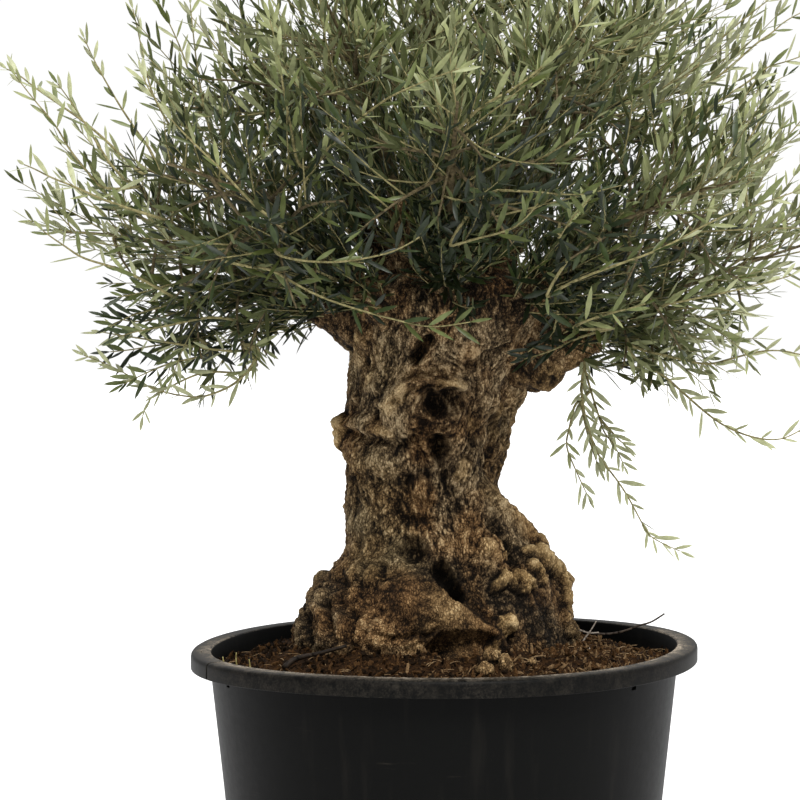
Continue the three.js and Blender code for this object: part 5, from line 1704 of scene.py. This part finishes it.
def make_straw():
    """Short bowed straws on the soil, each turned back where it would reach the tub's wall."""
    k = np.arange(STRAWS)
    x, y = scattered(k, STRAW_RING, STRAW_SEED)
    heading = LITTER_TURN * chance(k, 3, STRAW_SEED)
    length = (0.007 + 0.026 * chance(k, 4, STRAW_SEED) ** 2)[:, None]
    rise = 0.25 * (chance(k, 5, STRAW_SEED) - 0.3)
    start = np.stack([x, y, soil_height(x, y) + 0.0015], axis=-1)
    along = np.stack([np.cos(heading), np.sin(heading), rise], axis=-1) * length
    far = np.hypot(*(start + along)[:, :2].T) > STRAW_LIMIT
    end = np.where(far[:, None], start - along, start + along)
    bow = np.array([0, 0, 0.12]) * length
    thick = 0.0003 + 0.0004 * chance(k, 6, STRAW_SEED)
    shape = tubes(start, (start + end) / 2 + bow, end, thick, 0.8 * thick, 5, 3)
    soil_piece("straw", shape, twig_paint("straw", (0.120, 0.070, 0.032), (0.330, 0.225, 0.115), 300))


def make_sticks():
    """The sticks and sprouts on the soil, each kind a piece of its own."""
    for name, (thick, thin, dark, light, chains) in STICKS.items():
        shape = tubes(*chain_curves(chains, thick, thin)[:5], 8, 6)
        soil_piece(name, shape, twig_paint(name, dark, light, 200))


# Studio

def make_floor():
    """A wide white floor under the tub."""
    mesh = bpy.data.meshes.new("floor")
    corners = [(x * FLOOR_HALF, y * FLOOR_HALF, 0) for x, y in ((-1, -1), (1, -1), (1, 1), (-1, 1))]
    mesh.from_pydata(corners, [], [(0, 1, 2, 3)])
    floor = bpy.data.objects.new("floor", mesh)
    bpy.context.scene.collection.objects.link(floor)
    paint = Paint("floor_white")
    white = paint.blend(paint.speckle(3, 2), (0.86, 0.86, 0.86), (0.88, 0.88, 0.88))
    mesh.materials.append(paint.finish(Base_Color=white, Roughness=0.9))


def make_sky():
    """White surroundings, brightest above, behind and to the right, and plain white to the camera."""
    sky = Paint("studio_white", "worlds", "Background")
    towards = sky.node("ShaderNodeTexCoord", output="Generated")
    aside, behind, above = (sky.node("ShaderNodeSeparateXYZ", None, {"Vector": towards}, output=axis)
                            for axis in "XYZ")
    looked_at = sky.node("ShaderNodeLightPath", output="Is Camera Ray")
    glow = 0.22 + behind.ramp(0.20, 0.95) * 0.50 + above.ramp(0.0, 1.0) * 1.00
    glow = glow + aside.ramp(0.20, 0.95) * 0.36 - aside.ramp(-0.20, -0.90) * 0.12
    strength = glow * (1 - looked_at) + looked_at * 1.02
    bpy.context.scene.world = sky.finish(Color=(1.0, 1.0, 1.0), Strength=strength)


def make_key():
    """A broad soft key light from the upper right front."""
    key = bpy.data.lights.new("key", "SUN")
    key.energy = KEY_STRENGTH
    key.angle = math.radians(KEY_SPREAD)
    lamp = bpy.data.objects.new("key", key)
    lamp.rotation_euler = [math.radians(angle) for angle in KEY_TURN]
    bpy.context.scene.collection.objects.link(lamp)


def make_camera():
    """The photograph's camera, tilted to put the horizon over the middle of the frame."""
    lens = bpy.data.cameras.new("camera")
    lens.sensor_width = SENSOR_WIDTH
    lens.lens = FOCAL_PIXELS / FRAME_PIXELS * SENSOR_WIDTH
    lens.clip_end = 200
    camera = bpy.data.objects.new("camera", lens)
    camera.location = CAMERA_PLACE
    camera.rotation_euler = (math.pi / 2 - math.atan(HORIZON_RISE / FOCAL_PIXELS), 0, 0)
    scene = bpy.context.scene
    scene.collection.objects.link(camera)
    scene.camera = camera
    scene.view_settings.view_transform = "Standard"


bark = bark_paint()
make_trunk(bark)
make_nubs(bark)
make_boughs(bark)
make_foliage()
make_tub()
make_soil()
make_crumbs()
make_straw()
make_sticks()
make_floor()
make_sky()
make_key()
make_camera()
